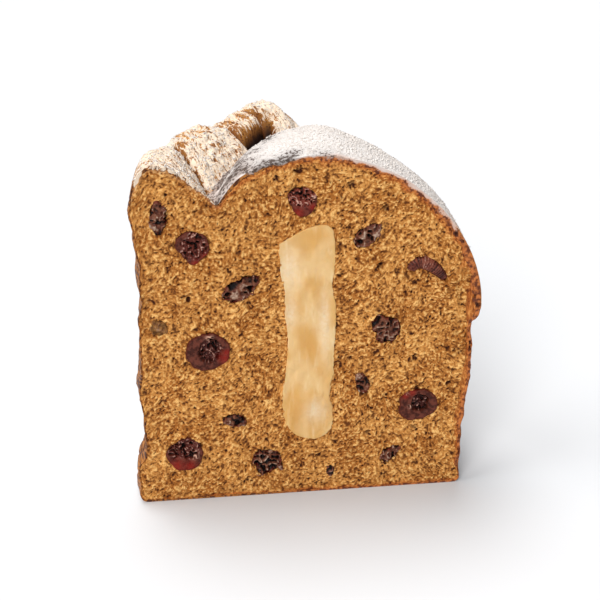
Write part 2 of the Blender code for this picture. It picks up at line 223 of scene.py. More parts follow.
def ring_height(x, y):
    """A ridge at one radius, falling by squares inwards and as a round corner outwards. Its height
    steps from fold to fold, and each cleft is a notch that deepens as it runs in."""
    radius = radius_of(x, y)
    bearing = bearing_of(x, y)
    inside = np.maximum(RIDGE_RADIUS - radius, 0.0)
    outside = np.maximum(radius - RIDGE_RADIUS, 0.0)
    fold = fold_of(x, y)
    height = np.interp(fold, RIDGE_BEARINGS, RIDGE_HEIGHTS)
    width = RING_WIDTH - RING_NARROWING * ease(bearing, 70.0, 95.0)
    height -= RING_FALL * (inside / width) ** 2
    height -= CORNER_FALL * (outside / (rim_radius(bearing) - RIDGE_RADIUS)) ** 2.5
    for run, (depth, half_width) in zip(CLEFT_RUNS, CLEFT_SHAPES):
        height -= depth * hump(fold, run[0], half_width) * ease(inside, 0.0, 8.0)
    return height


def ring_share(x, y):
    """1 on the torn ring and 0 on the dome, blended over the crease."""
    return ease(ring_height(x, y) - dome_height(x, y), -1.5, 1.5)


def pocket_share(x, y):
    """How near a point is to the deep pocket that the dome left when it tore free between the third
    and the fourth fold: a bell about a short line on the crown, wider at its front end."""
    dx = x - POCKET_START[0]
    dy = y - POCKET_START[1]
    along = np.clip((dx * POCKET_RUN[0] + dy * POCKET_RUN[1]) / (POCKET_RUN @ POCKET_RUN), 0.0, 1.0)
    away = np.hypot(dx - along * POCKET_RUN[0], dy - along * POCKET_RUN[1])
    return hump(away, 0.0, 3.9 - 1.4 * along)


def crack_share(x, y):
    """How near a point is to a crack in the ring: the three clefts, and a short tear across the
    second fold, which follows a sine as it runs inwards."""
    inside = RIDGE_RADIUS - radius_of(x, y)
    fold = fold_of(x, y)
    from_tear = bearing_of(x, y) - TEAR_BEARING + 1.5 * np.sin(inside * 0.4)
    cracks = 0.8 * hump(from_tear, 0.0, 0.9) * hump(inside, TEAR_INSIDE, 5.5)
    for run, (_, half_width) in zip(CLEFT_RUNS, CLEFT_SHAPES):
        cracks = np.maximum(cracks, hump(fold, run[0], half_width) * ease(inside, -1.0, 5.0))
    return cracks


def crown_height(x, y):
    """The higher of dome and ring with a small fillet between them, torn into radial strands and
    pits on the ring, and softly uneven on the dome."""
    dome = dome_height(x, y)
    ring = ring_height(x, y)
    height = (dome + ring + np.sqrt((dome - ring) ** 2 + 1.5)) / 2.0
    torn = ease(ring - dome, -1.0, 2.5)
    flat = level(x, y)
    polar = level(radius_of(x, y), fold_of(x, y) * 1.3)
    strands = 1.0 - 2.2 * np.abs(noise(polar, (8.0, 2.0, 1.0), 11))
    strands += 0.9 * (1.0 - 2.2 * np.abs(noise(polar, (4.0, 1.1, 1.0), 12)))
    pits, _, owner = bubbles(flat, 3.2, 13)
    pitted = ease(pits, 0.42, 0.12) * (owner > 0.45)
    relief = 0.9 * noise(flat, 9.0, 14) + 0.5 * noise(flat, 3.6, 15) + 0.5 * strands - 1.3 * pitted
    relief = relief + 0.3 * noise(flat, 1.5, 19) - 1.6 * crack_share(x, y)
    smooth = 0.5 * noise(flat, 22.0, 16) + 0.25 * noise(flat, 6.0, 17) + 0.14 * noise(flat, 1.6, 18)
    return height + torn * relief + (1.0 - torn) * smooth - POCKET_DEPTH * pocket_share(x, y)


# The crust
#
# A thin baked skin over the whole outside: brown walls that were against the mould, and the
# crown dusted with icing sugar. Its shell starts at the cut and stops short of the crumb inside.

CRUST_COLUMNS = 330
CROWN_ROWS = 150
WALL_ROWS = 92
FOOT_ROWS = 4
FLOOR_ROWS = 3
FOOT_RADIUS = 4.0
THIN_CRUST = 0.8
RING_LIP = 1.0
DOME_CRUST = 2.2
RIGHT_CRUST = 1.1
BAND_SHARES = (0.06, 0.2, 0.35, 0.5, 0.65, 0.82, 1.0)
PORE_DEPTH = 1.6
SHELL_DEPTH = 7.0
SHELL_HUB = 100.0


class Tone:
    """A value or colour in a finish. Sums written with it add the Math nodes that work them out."""

    def __init__(self, finish, socket):
        self.finish = finish
        self.socket = socket

    def _math(self, operation, first, second):
        """A Math node on two values, of which one may be a plain number."""
        return self.finish.add("Math", {"operation": operation}, {0: first, 1: second})

    def __add__(self, other):
        return self._math("ADD", self, other)

    def __radd__(self, other):
        return self._math("ADD", other, self)

    def __sub__(self, other):
        return self._math("SUBTRACT", self, other)

    def __rsub__(self, other):
        return self._math("SUBTRACT", other, self)

    def __mul__(self, other):
        return self._math("MULTIPLY", self, other)

    def __rmul__(self, other):
        return self._math("MULTIPLY", other, self)

    def eased(self, start, end):
        """0 before start and 1 after end, with an even curve between them."""
        settings = {"interpolation_type": "SMOOTHSTEP"}
        return self.finish.add("MapRange", settings, {"Value": self, "From Min": start, "From Max": end})


class Finish:
    """A material in the making: one Principled shader, and one method that adds any other node."""

    def __init__(self, name, **fixed):
        """A shader whose sockets, named with underscores for spaces, start at the values given."""
        self.material = bpy.data.materials.new(name)
        self.material.use_nodes = True
        self.tree = self.material.node_tree
        self.shader = self.tree.nodes["Principled BSDF"]
        for socket, value in fixed.items():
            self.shader.inputs[socket.replace("_", " ")].default_value = value
        self.place = self.add("TexCoord", {}, {}, "Object")

    def add(self, kind, settings, sockets, output=0):
        """A node of a kind: its settings first, then values or links for its sockets."""
        node = self.tree.nodes.new("ShaderNode" + kind)
        for name, value in settings.items():
            setattr(node, name, value)
        for name, value in sockets.items():
            if isinstance(value, Tone):
                self.tree.links.new(value.socket, node.inputs[name])
            else:
                node.inputs[name].default_value = value
        return Tone(self, node.outputs[output])

    def hills(self, size, detail=2.0, distortion=0.0):
        """A noise about 0.5, whose hills are so many millimetres wide, as one number or three."""
        widths = np.broadcast_to(np.asarray(size, float), 3)
        scaled = self.add("Mapping", {}, {"Vector": self.place, "Scale": list(1000.0 / widths)})
        sockets = {"Vector": scaled, "Scale": 1.0, "Detail": detail, "Distortion": distortion}
        return self.add("TexNoise", {}, sockets)

    def told(self, name):
        """A value that the mesh carries from point to point."""
        return self.add("Attribute", {"attribute_name": name}, {}, "Fac")

    def mix(self, share, first, second):
        """A colour that share of the way from the first to the second."""
        return self.add("Mix", {"data_type": "RGBA"}, {0: share, 6: first, 7: second}, 2)

    def wear(self, **sockets):
        """Links tones to the shader's sockets."""
        for name, tone in sockets.items():
            self.tree.links.new(tone.socket, self.shader.inputs[name.replace("_", " ")])

    def relief(self, height, depth):
        """A Bump of so many millimetres."""
        sockets = {"Strength": 1.0, "Distance": depth / 1000.0, "Height": height}
        self.wear(Normal=self.add("Bump", {}, sockets))


def paint(red, green, blue):
    """A screen colour from 0 to 255, turned into light: the sRGB curve undone."""
    screen = np.array([red, green, blue]) / 255.0
    light = np.where(screen <= 0.04045, screen / 12.92, ((screen + 0.055) / 1.055) ** 2.4)
    return (*(float(channel) for channel in light), 1.0)


def make_piece(name, points, faces, finish, slot, nodes, **carried):
    """A mesh of points in millimetres, with the values that its finish reads, riding on the loaf."""
    mesh = bpy.data.meshes.new(name)
    mesh.from_pydata((points / 1000.0).tolist(), [], faces)
    mesh.shade_smooth()
    for value, numbers in carried.items():
        layer = mesh.attributes.new(value, "FLOAT", "POINT")
        layer.data.foreach_set("value", np.ascontiguousarray(numbers, dtype=np.float32))
    mesh.materials.append(finish.material)
    piece = bpy.data.objects.new(name, mesh)
    bpy.context.scene.collection.objects.link(piece)
    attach(piece, "root")
    if nodes:
        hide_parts(*nodes)
    return piece


def grid_faces(numbers):
    """Quads of a grid of point numbers, wound from its first way to its second."""
    corners = (numbers[:-1, :-1], numbers[1:, :-1], numbers[1:, 1:], numbers[:-1, 1:])
    return np.stack(corners, axis=-1).reshape(-1, 4).tolist()


def band_faces(first, second):
    """Quads between two loops of point numbers of the same length, closed on themselves."""
    corners = (first, second, np.roll(second, -1), np.roll(first, -1))
    return np.stack(corners, axis=-1).tolist()


def fan_faces(loop, hub):
    """Triangles from a loop of point numbers, closed on itself, to its hub."""
    return np.stack([loop, np.full_like(loop, hub), np.roll(loop, -1)], axis=-1).tolist()


def reach_of(turn, radius):
    """Distance from the cut's middle to a circle about the axis, in the direction of turn."""
    return KNIFE_TO_AXIS * np.sin(turn) + np.sqrt(radius**2 - (KNIFE_TO_AXIS * np.cos(turn)) ** 2)


def crust_surface(turn, row):
    """Crown rows at sines of even angles out to the rim, at the crown's height; wall rows from the
    rim down, close together under the lip; then the round foot, and the flat underside."""
    edge = reach_of(turn, MOULD_RADIUS)
    bearing = bearing_of(edge * np.cos(turn), CUT + edge * np.sin(turn))
    spill = lip_share(bearing)
    rim = rim_radius(bearing)
    reach = reach_of(turn, rim)
    out = reach * np.sin(np.clip(row / CROWN_ROWS, 0.0, 1.0) * math.pi / 2.0)
    crown_x = out * np.cos(turn)
    crown_y = CUT + out * np.sin(turn)
    crown_z = crown_height(crown_x, crown_y)

    rim_z = crown_height(reach * np.cos(turn), CUT + reach * np.sin(turn))
    down = np.clip((row - CROWN_ROWS) / WALL_ROWS, 0.0, 1.0)
    z = rim_z - (rim_z - FOOT_RADIUS) * down ** (1.0 + 0.8 * spill)
    foot = np.clip((row - CROWN_ROWS - WALL_ROWS) / FOOT_ROWS, 0.0, 1.0) * math.pi / 2.0
    z -= FOOT_RADIUS * np.sin(foot)
    curl = np.clip((rim_z - z) / LIP_ROLL, 0.0, 1.0)
    radius = side_radius(bearing, z) + (rim - side_radius(bearing, rim_z)) * np.sqrt(1.0 - curl**2)
    radius -= FOOT_RADIUS * (1.0 - np.cos(foot))
    radius += wall_relief(bearing, z) * ease(rim_z - z, 0.0, 5.0) * ease(z, 0.0, 3.0)
    under = np.clip((row - CROWN_ROWS - WALL_ROWS - FOOT_ROWS) / FLOOR_ROWS, 0.0, 1.0)
    side = reach_of(turn, radius) * (1.0 - under)

    on_crown = row < CROWN_ROWS
    x = np.where(on_crown, crown_x, side * np.cos(turn))
    y = np.where(on_crown, crown_y, CUT + side * np.sin(turn))
    return np.stack([x, y, np.where(on_crown, crown_z, z)], axis=-1)


def upright(x, z):
    """Points on an upright plane, where a pattern is to be the same at every depth."""
    return np.stack([x, 0.0 * x, z], axis=-1)


def wall_relief(bearing, z):
    """The baked wall: noise as soft dents and ragged steps, less small bowls as broken blisters."""
    wall = upright(bearing * 1.5, z)
    ragged = noise(wall, 6.0, 21) * 0.7 + noise(wall, 2.4, 22) * 0.35 + noise(wall, 18.0, 23) * 0.5
    blisters, _, owner = bubbles(wall, 5.0, 24)
    return ragged - 0.9 * ease(blisters, 0.34, 0.12) * (owner > 0.6)


def crust_skin():
    """The outer grid: columns from the right of the cut round the back to its left, closer together
    beside the cut, by rows from the crown's middle to the base's. Also the loop of its points along
    the cut, clockwise from the crown's middle as the cut is seen."""
    last_row = CROWN_ROWS + WALL_ROWS + FOOT_ROWS + FLOOR_ROWS
    turn = np.linspace(0.0, math.pi, CRUST_COLUMNS + 1)[:, None]
    turn = turn + 0.33 * np.sin(turn)
    turn, rows = np.broadcast_arrays(turn, np.arange(1.0, last_row)[None, :])
    skin = crust_surface(turn, rows)
    top = np.array([0.0, CUT, crown_height(np.array([0.0]), np.array([CUT]))[0]])
    points = np.concatenate([skin.reshape(-1, 3), [top, [0.0, CUT, 0.0]]])
    count = len(points) - 2
    numbers = np.arange(count).reshape(skin.shape[:2])
    loop = np.concatenate([[count], numbers[0], [count + 1], numbers[-1][::-1]])
    faces = grid_faces(numbers.T)
    faces += [[count, numbers[a, 0], numbers[a + 1, 0]] for a in range(CRUST_COLUMNS)]
    faces += [[count + 1, numbers[a + 1, -1], numbers[a, -1]] for a in range(CRUST_COLUMNS)]
    return points, faces, loop


def cut_rim(outline):
    """How the crust shows at the cut: the way inwards along the outline, and the crust's thickness,
    thin on the left, a lip of sugared crust on the ring, and thick and open on the right."""
    x, z = outline[:, 0], outline[:, 2]
    ahead = np.roll(outline, -5, axis=0) - np.roll(outline, 5, axis=0)
    for _ in range(6):
        ahead = (np.roll(ahead, 1, axis=0) + ahead + np.roll(ahead, -1, axis=0)) / 3.0
    ahead /= np.linalg.norm(ahead, axis=1)[:, None]
    inwards = np.stack([ahead[:, 2], 0.0 * x, -ahead[:, 0]], axis=-1)
    on_ring = ease(z, 173.0, 182.0) * ease(x, -38.0, -48.0)
    on_dome = ease(x, -48.0, -30.0) * ease(z, 90.0, 112.0)
    on_right = ease(x, 40.0, 70.0) * ease(z, 3.0, 12.0)
    thick = THIN_CRUST + RING_LIP * on_ring + DOME_CRUST * on_dome + RIGHT_CRUST * on_right
    thick *= 1.0 + 0.35 * noise(outline, 4.5, 66) + 0.25 * noise(outline, 12.0, 67)
    return inwards, thick


def crust_shell():
    """The skin, a band as wide as the crust is thick that runs inwards from it at the cut, rounded
    where the knife left the skin and broken by pores, and behind it a wall and a fan that close it.
    With them, for each point, the share of the way into the band and how deep in a pore it is."""
    points, faces, loop = crust_skin()
    outline = points[loop]
    inwards, thick = cut_rim(outline)
    share = np.array(BAND_SHARES)[:, None]
    band = outline + inwards * (thick * share)[..., None]
    pores, _, owner = bubbles(band, (3.4, 3.4, 4.4), 68)
    pored = ease(pores, 0.42, 0.2) * (owner > 0.45) * ease(share, 0.1, 0.35) * (outline[:, 0] > -40.0)
    band[..., 1] += 0.15 + 0.35 * noise(band, 1.8, 69) * ease(share, 0.0, 0.3) + 0.5 * share**3
    band[..., 1] += PORE_DEPTH * pored
    wall = band[-1] + inwards * 0.2
    wall[:, 1] = CUT + SHELL_DEPTH
    hub = [0.0, CUT + SHELL_DEPTH, SHELL_HUB]
    start = len(points)
    end = start + pored.size
    points = np.concatenate([points, band.reshape(-1, 3), wall, [hub]])
    loops = [loop, *(start + np.arange(end + len(loop) - start).reshape(-1, len(loop)))]
    for first, second in zip(loops[:-1], loops[1:]):
        faces += band_faces(first, second)
    faces += fan_faces(loops[-1], len(points) - 1)
    inside = np.zeros(len(points))
    inside[start:end] = np.broadcast_to(0.2 + 0.8 * share, pored.shape).ravel()
    inside[end:] = 1.0
    pore = np.zeros(len(points))
    pore[start:end] = pored.ravel()
    return points, faces, inside, pore


def thin_sugar_and_shade_share(x, y):
    """Where the sugar on the dome is thin over the bake, from 0 to 1, and where its finish paints the sugar
    grey as shade: towards the crease that it shares with the ring, along the edge of the cut on the
    left half, and in a patch on top."""
    radius = radius_of(x, y)
    bearing = bearing_of(x, y)
    patches = noise(level(x, y), 8.0, 35) + 0.6 * noise(level(x, y), 3.0, 36)
    to_crease = np.interp(bearing, CREASE_BEARINGS, CREASE_RADII) - radius
    beside_ring = ease(to_crease, 34.0, 2.0) * ease(bearing, 112.0, 88.0)
    beside_cut = 0.85 * ease(y - CUT, 15.0, 0.0) * ease(x, 26.0, -4.0)
    on_top = 0.4 * hump(np.hypot(x + 2.0, (y - CUT - 44.0) * 0.8), 0.0, 12.0)
    thin = np.maximum(np.maximum(beside_ring, beside_cut), on_top)
    return np.clip(thin * (0.85 + 0.7 * patches), 0.0, 1.0) * (1.0 - ring_share(x, y))


def below_crown(points, inside):
    """How far down the wall a point is: nothing on the crown, or in the band along the cut."""
    x, y, z = points.T
    return np.maximum(crown_height(x, y) - z - 5.0 * inside, 0.0)


def sugar_cover(points, inside):
    """How thick the sugar lies, 0 to 1: full on the dome's top, thinner down its flank, patchy on
    the ring where torn strands stand out of it, and none under the lip, on the walls, in the
    cracks or in the pocket."""
    x, y, z = points.T
    bearing = bearing_of(x, y)
    ring = ring_share(x, y)
    flat = level(x, y)
    fold = fold_of(x, y)
    radius = radius_of(x, y)
    polar = level(radius, fold * 1.3)
    dome = ease(z, 108.0, 174.0) * (0.92 + 0.16 * noise(flat, 16.0, 31))
    dome += ease(z, 184.0, 150.0) * (0.16 * noise(flat, 6.0, 37) + 0.12 * noise(flat, 2.2, 38))
    dome -= 0.18 * thin_sugar_and_shade_share(x, y) + 0.22 * ease(y - CUT, 4.0, 0.0) * ease(x, -25.0, 20.0)
    bare = ease(fold, 56.5, 59.0) * ease(fold, 73.5, 71.5)
    torn = 0.57 - 0.20 * bare + 0.22 * noise(flat, 6.0, 32) + 0.22 * noise(polar, (6.0, 1.6, 1.0), 33)
    torn += 0.12 * noise(flat, 1.6, 34)
    torn *= ease(radius - rim_radius(bearing) + 1.5 * noise(flat, 3.0, 39), 0.0, -5.0)
    torn -= 0.8 * crack_share(x, y)
    cover = dome * (1.0 - ring) + torn * ring
    cover -= 1.6 * ease(pocket_share(x, y), 0.08, 0.45)
    on_ring_lip = ease(inside + 0.45 * noise(points, 2.2, 40), 1.1, 0.45) * ring
    on_dome_rim = ease(inside + 0.3 * noise(points, 3.0, 39), 0.95, 0.3) * ease(z, 118.0, 145.0)
    band = np.where(x < -30.0, on_ring_lip, 0.9 * on_dome_rim)
    cover = np.where(inside > 0.0, cover * band, cover)
    return np.clip(cover, 0.0, 1.0) * ease(below_crown(points, inside), 2.5, 0.2)


crust = Finish("baked crust and icing sugar", Specular_IOR_Level=0.3)
broad = crust.hills(14.0)
fine = crust.hills(1.1, 3.0)
powder = crust.hills(0.5, 2.0)
radius = crust.told("radius")
torn = crust.add("CombineXYZ", {}, {"X": radius * 0.3, "Y": crust.told("fold") * 1.3, "Z": radius * 0.02})
torn = crust.add("TexNoise", {}, {"Vector": torn, "Scale": 1.0, "Detail": 4.0, "Roughness": 0.7})
ring = crust.told("ring")
grooves = (torn - 0.5) * ring * (1.0 - 0.8 * crust.told("pocket").eased(0.1, 0.5))
on_wall = crust.told("wall")
streaks = (crust.hills((9.0, 9.0, 26.0), 3.0) + fine * 0.3).eased(0.5, 0.8)
wall = crust.mix(streaks, paint(150, 92, 44), paint(104, 54, 22))
wall = crust.mix(crust.hills(3.0, 4.0).eased(0.52, 0.70) * 0.7, wall, paint(84, 42, 18))
baked = crust.mix(broad.eased(0.35, 0.65), paint(150, 92, 34), paint(190, 130, 58))
baked = crust.mix(on_wall, baked, wall)
baked = crust.mix((fine + grooves).eased(0.48, 0.70) * (1.0 - on_wall), baked, paint(106, 56, 18))
dark_rim = crust.mix(crust.hills(2.4, 3.0).eased(0.38, 0.60), paint(192, 112, 52), paint(96, 42, 16))
slanted = crust.hills((1.5, 11.0, 1.5), 4.0, 0.6)
pale_rim = crust.mix(slanted.eased(0.40, 0.60), paint(176, 112, 46), paint(76, 34, 8))
baked = crust.mix(crust.told("inside").eased(0.0, 0.35), baked, dark_rim)
baked = crust.mix(crust.told("pale"), baked, pale_rim)
# Painted shade: the cracks are darker than their bare crust, as if in shadow.
baked = crust.mix(crust.told("crack") * 0.75, baked, paint(92, 44, 14))
# Painted shade: the deep pocket is painted near black.
baked = crust.mix(crust.told("pocket").eased(0.12, 0.55), baked, paint(30, 10, 4))
# Painted shade: the pores in the cut crust are painted near black.
baked = crust.mix(crust.told("pore") * 0.85, baked, paint(48, 16, 5))
sugar = crust.told("sugar")
cover = (sugar + (fine - 0.5) * 0.7 + (powder - 0.5) * 0.5 - grooves * 2.8).eased(0.27, 0.52)
icy = crust.mix(sugar.eased(0.35, 0.85), paint(206, 160, 134), paint(220, 213, 208))
icy = crust.mix(ring, icy, paint(235, 214, 190))
thin_sugar_and_shade = crust.told("thin_sugar_and_shade")
# Dark specks of bake show through the thin sugar. The grey over it is painted shade, deepest towards the
# crease.
speck = (crust.hills(1.7, 4.0) + thin_sugar_and_shade * 0.14).eased(0.57, 0.66) * thin_sugar_and_shade.eased(0.08, 0.45)
icy = crust.mix(thin_sugar_and_shade * (0.35 + 0.9 * fine), icy, paint(122, 114, 110))
icy = crust.mix(speck * 0.9, icy, paint(70, 54, 46))
crust.wear(Base_Color=crust.mix(cover, baked, icy), Roughness=0.55 + 0.38 * cover)
crust.relief(fine * 0.5 + powder * 0.3 - grooves * 1.2, 0.7)

points, faces, inside, pore = crust_shell()
x, y, z = points.T
carried = {"sugar": sugar_cover(points, inside), "inside": inside, "pore": pore, "thin_sugar_and_shade": thin_sugar_and_shade_share(x, y)}
carried["wall"] = ease(below_crown(points, inside), 1.0, 14.0)
carried["ring"] = ring_share(x, y) * ease(below_crown(points, inside), 7.0, 0.5)
carried["radius"] = radius_of(x, y)
carried["fold"] = fold_of(x, y)
carried["crack"] = crack_share(x, y) * carried["ring"]
carried["pocket"] = pocket_share(x, y) * (z > 140.0)
carried["pale"] = np.where(inside > 0.0, ease(x, 5.0, -25.0), ease(x, -74.0, -82.0) * ease(z, 182.0, 172.0))
make_piece("crust", points, faces, crust, "crust", ["loaf"], **carried)


# The icing sugar
#
# Icing sugar sifted over the baked crown. It has caked into small lumps where it lies thick, on
# the dome and on the broad parts of the ring.

SUGAR_LUMPS = 15000
SMALLEST_LUMP = 0.12
LUMP_SPREAD = 0.085
SUGAR_RADIUS = 85.0


def sugar_lumps():
    """Low eight-sided lumps on the crown: their places are drawn evenly over the half disc and kept
    by the chance that the sugar's cover gives, each turned and sized by its own draw."""
    draw = np.random.default_rng(12)
    turn = draw.uniform(0.0, math.pi, SUGAR_LUMPS * 3)
    out = reach_of(turn, SUGAR_RADIUS) * np.sqrt(draw.uniform(0.0, 1.0, SUGAR_LUMPS * 3))
    x = out * np.cos(turn)
    y = CUT + 0.6 + out * np.sin(turn) * 0.99
    z = crown_height(x, y)
    cover = sugar_cover(np.stack([x, y, z], axis=-1), np.zeros_like(x))
    chance = cover - 0.25 - 0.9 * thin_sugar_and_shade_share(x, y)
    kept = np.flatnonzero(draw.uniform(0.0, 1.0, len(x)) < chance)[:SUGAR_LUMPS]
    middle = np.stack([x[kept], y[kept], z[kept]], axis=-1)
    size = draw.gamma(3.0, LUMP_SPREAD, len(kept))[:, None] + SMALLEST_LUMP
    way = draw.uniform(0.0, math.pi, len(kept))[:, None]
    corner = np.arange(4)[None, :] * math.pi / 2.0 + way
    stretch = draw.uniform(0.7, 1.3, (len(kept), 4))
    ring = level(np.cos(corner) * stretch * size, np.sin(corner) * stretch * size)
    ring += middle[:, None, :]
    rise = np.stack([0.0 * size, 0.0 * size, size * 0.75], axis=-1)
    lumps = np.concatenate([ring, middle[:, None, :] + rise, middle[:, None, :] - rise], axis=1)
    sides = np.array([(0, 1, 4), (1, 2, 4), (2, 3, 4), (3, 0, 4), (1, 0, 5), (2, 1, 5), (3, 2, 5), (0, 3, 5)])
    faces = (sides[None, :, :] + 6 * np.arange(len(kept))[:, None, None]).reshape(-1, 3).tolist()
    return lumps.reshape(-1, 3), faces


icing = Finish("caked icing sugar", Roughness=0.95)
shade = icing.hills(2.0)
caked = icing.mix(shade.eased(0.35, 0.65), paint(208, 198, 190), paint(222, 215, 209))
icing.wear(Base_Color=caked)
icing.relief(icing.hills(0.3, 2.0), 0.1)

points, faces = sugar_lumps()
make_piece("icing_sugar", points, faces, icing, "sugar", [])


# Where the fruit and the cream are
#
# Raisins, cherries and peel were stirred into the dough, and cream was piped down the middle. A
# fruit has x and height of its middle and its reach every 30 degrees, counted from the right over
# the top; the cream has its edges by height, and the peel a path of x, height and radius.

CHERRIES = {
    "cherry_1": (-58.0, 147.0, (8.7, 8.8, 8.2, 8.3, 8.7, 8.9, 7.9, 6.7, 7.1, 10.0, 8.5, 8.5)),
    "cherry_2": (-3.5, 169.0, (8.0, 7.8, 7.1, 6.8, 7.4, 7.6, 6.1, 5.4, 6.6, 8.3, 8.4, 8.0)),
    "cherry_3": (-51.5, 89.0, (11.4, 10.9, 9.8, 9.6, 9.7, 11.2, 11.5, 11.9, 11.6, 11.1, 10.6, 11.7)),
    "cherry_4": (59.0, 50.5, (10.6, 10.4, 9.2, 8.2, 8.9, 10.0, 9.6, 11.2, 10.5, 9.6, 9.5, 10.8)),
    "cherry_5": (-66.0, 28.5, (10.2, 10.3, 9.9, 9.5, 7.7, 8.9, 9.4, 9.2, 9.7, 10.4, 10.7, 10.5)),
}
RAISINS = {
    "raisin_1": (-74.5, 163.0, (4.1, 5.2, 6.9, 8.4, 6.0, 4.1, 3.5, 4.2, 5.9, 9.6, 6.7, 5.4)),
    "raisin_2": (-35.0, 123.0, (8.0, 11.7, 7.0, 4.5, 4.5, 5.9, 7.2, 9.8, 9.0, 7.0, 5.8, 6.9)),
    "raisin_3": (29.5, 149.0, (6.2, 9.3, 6.9, 3.8, 3.8, 4.8, 5.2, 7.6, 8.0, 6.6, 5.4, 6.2)),
    "raisin_4": (41.0, 96.5, (7.7, 7.9, 6.5, 5.9, 9.3, 8.3, 7.5, 5.8, 9.2, 8.9, 9.3, 7.4)),
    "raisin_5": (28.5, 65.5, (3.9, 3.9, 4.2, 5.2, 5.4, 3.5, 2.5, 3.0, 4.7, 6.8, 6.6, 4.7)),
    "raisin_6": (-39.0, 47.5, (6.9, 4.2, 3.0, 2.6, 2.8, 4.2, 5.6, 4.4, 3.9, 3.9, 4.4, 6.6)),
    "raisin_7": (-21.5, 21.0, (7.6, 7.6, 7.0, 6.5, 7.2, 7.7, 8.0, 7.5, 9.4, 8.0, 6.2, 10.0)),
    "raisin_8": (44.5, 21.0, (3.9, 6.6, 4.6, 3.1, 3.1, 3.5, 4.0, 5.6, 6.0, 4.2, 3.9, 4.4)),
    "raisin_9": (12.5, 12.5, (2.2, 2.4, 2.9, 3.2, 2.8, 2.2, 2.0, 2.3, 3.0, 3.3, 2.9, 2.3)),
    "raisin_10": (-76.0, 103.0, (4.4, 4.0, 4.2, 4.3, 4.6, 4.2, 4.4, 4.0, 3.8, 4.2, 3.9, 4.6)),
}
CREAM_HEIGHTS = (
    33.6, 34.5, 36.4, 38.9, 42.1, 45.3, 51.7, 58.0, 64.2, 70.4, 79.6, 88.7, 96.2, 103.7,
    111.1, 118.5, 121.4, 125.8, 133.0, 140.2, 143.7, 145.9, 148.3, 150.6, 152.4, 153.7, 154.5, 155.0,
)
CREAM_LEFT = (
    3.0, -1.2, -5.4, -8.2, -10.3, -11.6, -12.7, -12.8, -12.1, -11.1, -10.4, -9.8, -10.1, -10.9,
    -11.1, -11.1, -11.7, -12.5, -13.6, -13.9, -14.1, -13.8, -10.2, -6.0, -2.3, 0.9, 3.9, 7.2,
)
CREAM_RIGHT = (
    4.0, 6.8, 9.6, 11.6, 12.7, 13.2, 12.4, 11.0, 11.5, 13.0, 13.3, 13.5, 13.8, 14.1,
    13.8, 12.6, 12.1, 12.7, 13.2, 13.4, 13.3, 13.3, 12.9, 12.5, 11.8, 10.8, 9.8, 8.2,
)
PEEL_X = (52.6, 54.0, 57.0, 60.6, 64.4, 67.4, 70.0, 71.8)
PEEL_Z = (127.2, 130.4, 132.4, 132.0, 129.8, 127.0, 124.0, 121.6)
PEEL_RADII = (2.4, 3.0, 3.4, 3.5, 3.5, 3.3, 2.5, 1.2)


def outline_reach(angle, reaches):
    """A fruit's reach at an angle: its twelve reaches, blended with an even curve between two."""
    step = np.mod(np.degrees(angle) / 30.0, 12.0)
    low = np.floor(step).astype(int) % 12
    share = step - np.floor(step)
    share = share * share * (3.0 - 2.0 * share)
    reaches = np.asarray(reaches)
    return reaches[low] * (1.0 - share) + reaches[(low + 1) % 12] * share


def from_fruit(x, z, place):
    """Distance from a fruit's middle as a share of its reach that way: 1 on its outline."""
    dx = x - place[0]
    dz = z - place[1]
    return np.hypot(dx, dz) / outline_reach(np.arctan2(dz, dx), place[2])


def peel_beads():
    """Beads along the peel's path: x, height and radius."""
    share = np.linspace(0.0, len(PEEL_X) - 1.0, 22)
    steps = np.arange(len(PEEL_X))
    return np.stack([np.interp(share, steps, row) for row in (PEEL_X, PEEL_Z, PEEL_RADII)], axis=-1)


def cream_edges(z):
    """The cream's left and right edges on the cut, between the heights where the knife's cut shows
    them; past its two ends they cross over."""
    past = 5.0 * np.maximum(np.maximum(CREAM_HEIGHTS[0] - z, z - CREAM_HEIGHTS[-1]), 0.0)
    return np.interp(z, CREAM_HEIGHTS, CREAM_LEFT) + past, np.interp(z, CREAM_HEIGHTS, CREAM_RIGHT) - past


# The crumb
#
# The cut face: a soft, open crumb of torn strands and small bubbles, golden brown from caramel
# and butter, which darkens into the crust at its edge. It is a slab behind the knife's plane, in
# four pieces that meet edge to edge.

CRUMB_COLUMNS = 584
CRUMB_ROWS = 608
CRUMB_BACK = 6.0
BACK_TAPER = 0.4
FRUIT_SOCKET = 3.2
CREAM_SOCKET = 4.0
HOLE_DEPTH = 1.8
LARGE_HOLES = (
    (-55.5, 165.0, 1.8), (-66.0, 171.0, 1.5), (-70.0, 174.5, 1.3), (22.0, 176.0, 2.0),
    (39.5, 163.0, 2.0), (37.5, 131.0, 1.8), (16.5, 127.5, 1.6), (-4.5, 184.0, 2.4),
    (-15.0, 180.0, 1.8), (57.5, 36.0, 1.8), (66.5, 28.0, 1.5), (76.0, 62.0, 1.6),
    (76.0, 152.0, 1.7), (83.5, 132.0, 1.8), (86.0, 126.0, 1.5), (86.5, 110.0, 1.7),
    (-84.0, 120.0, 1.4), (-60.0, 118.0, 1.5), (6.0, 22.0, 1.4), (-52.0, 66.0, 1.3),
    (58.0, 78.0, 1.5), (33.0, 34.0, 1.4),
)


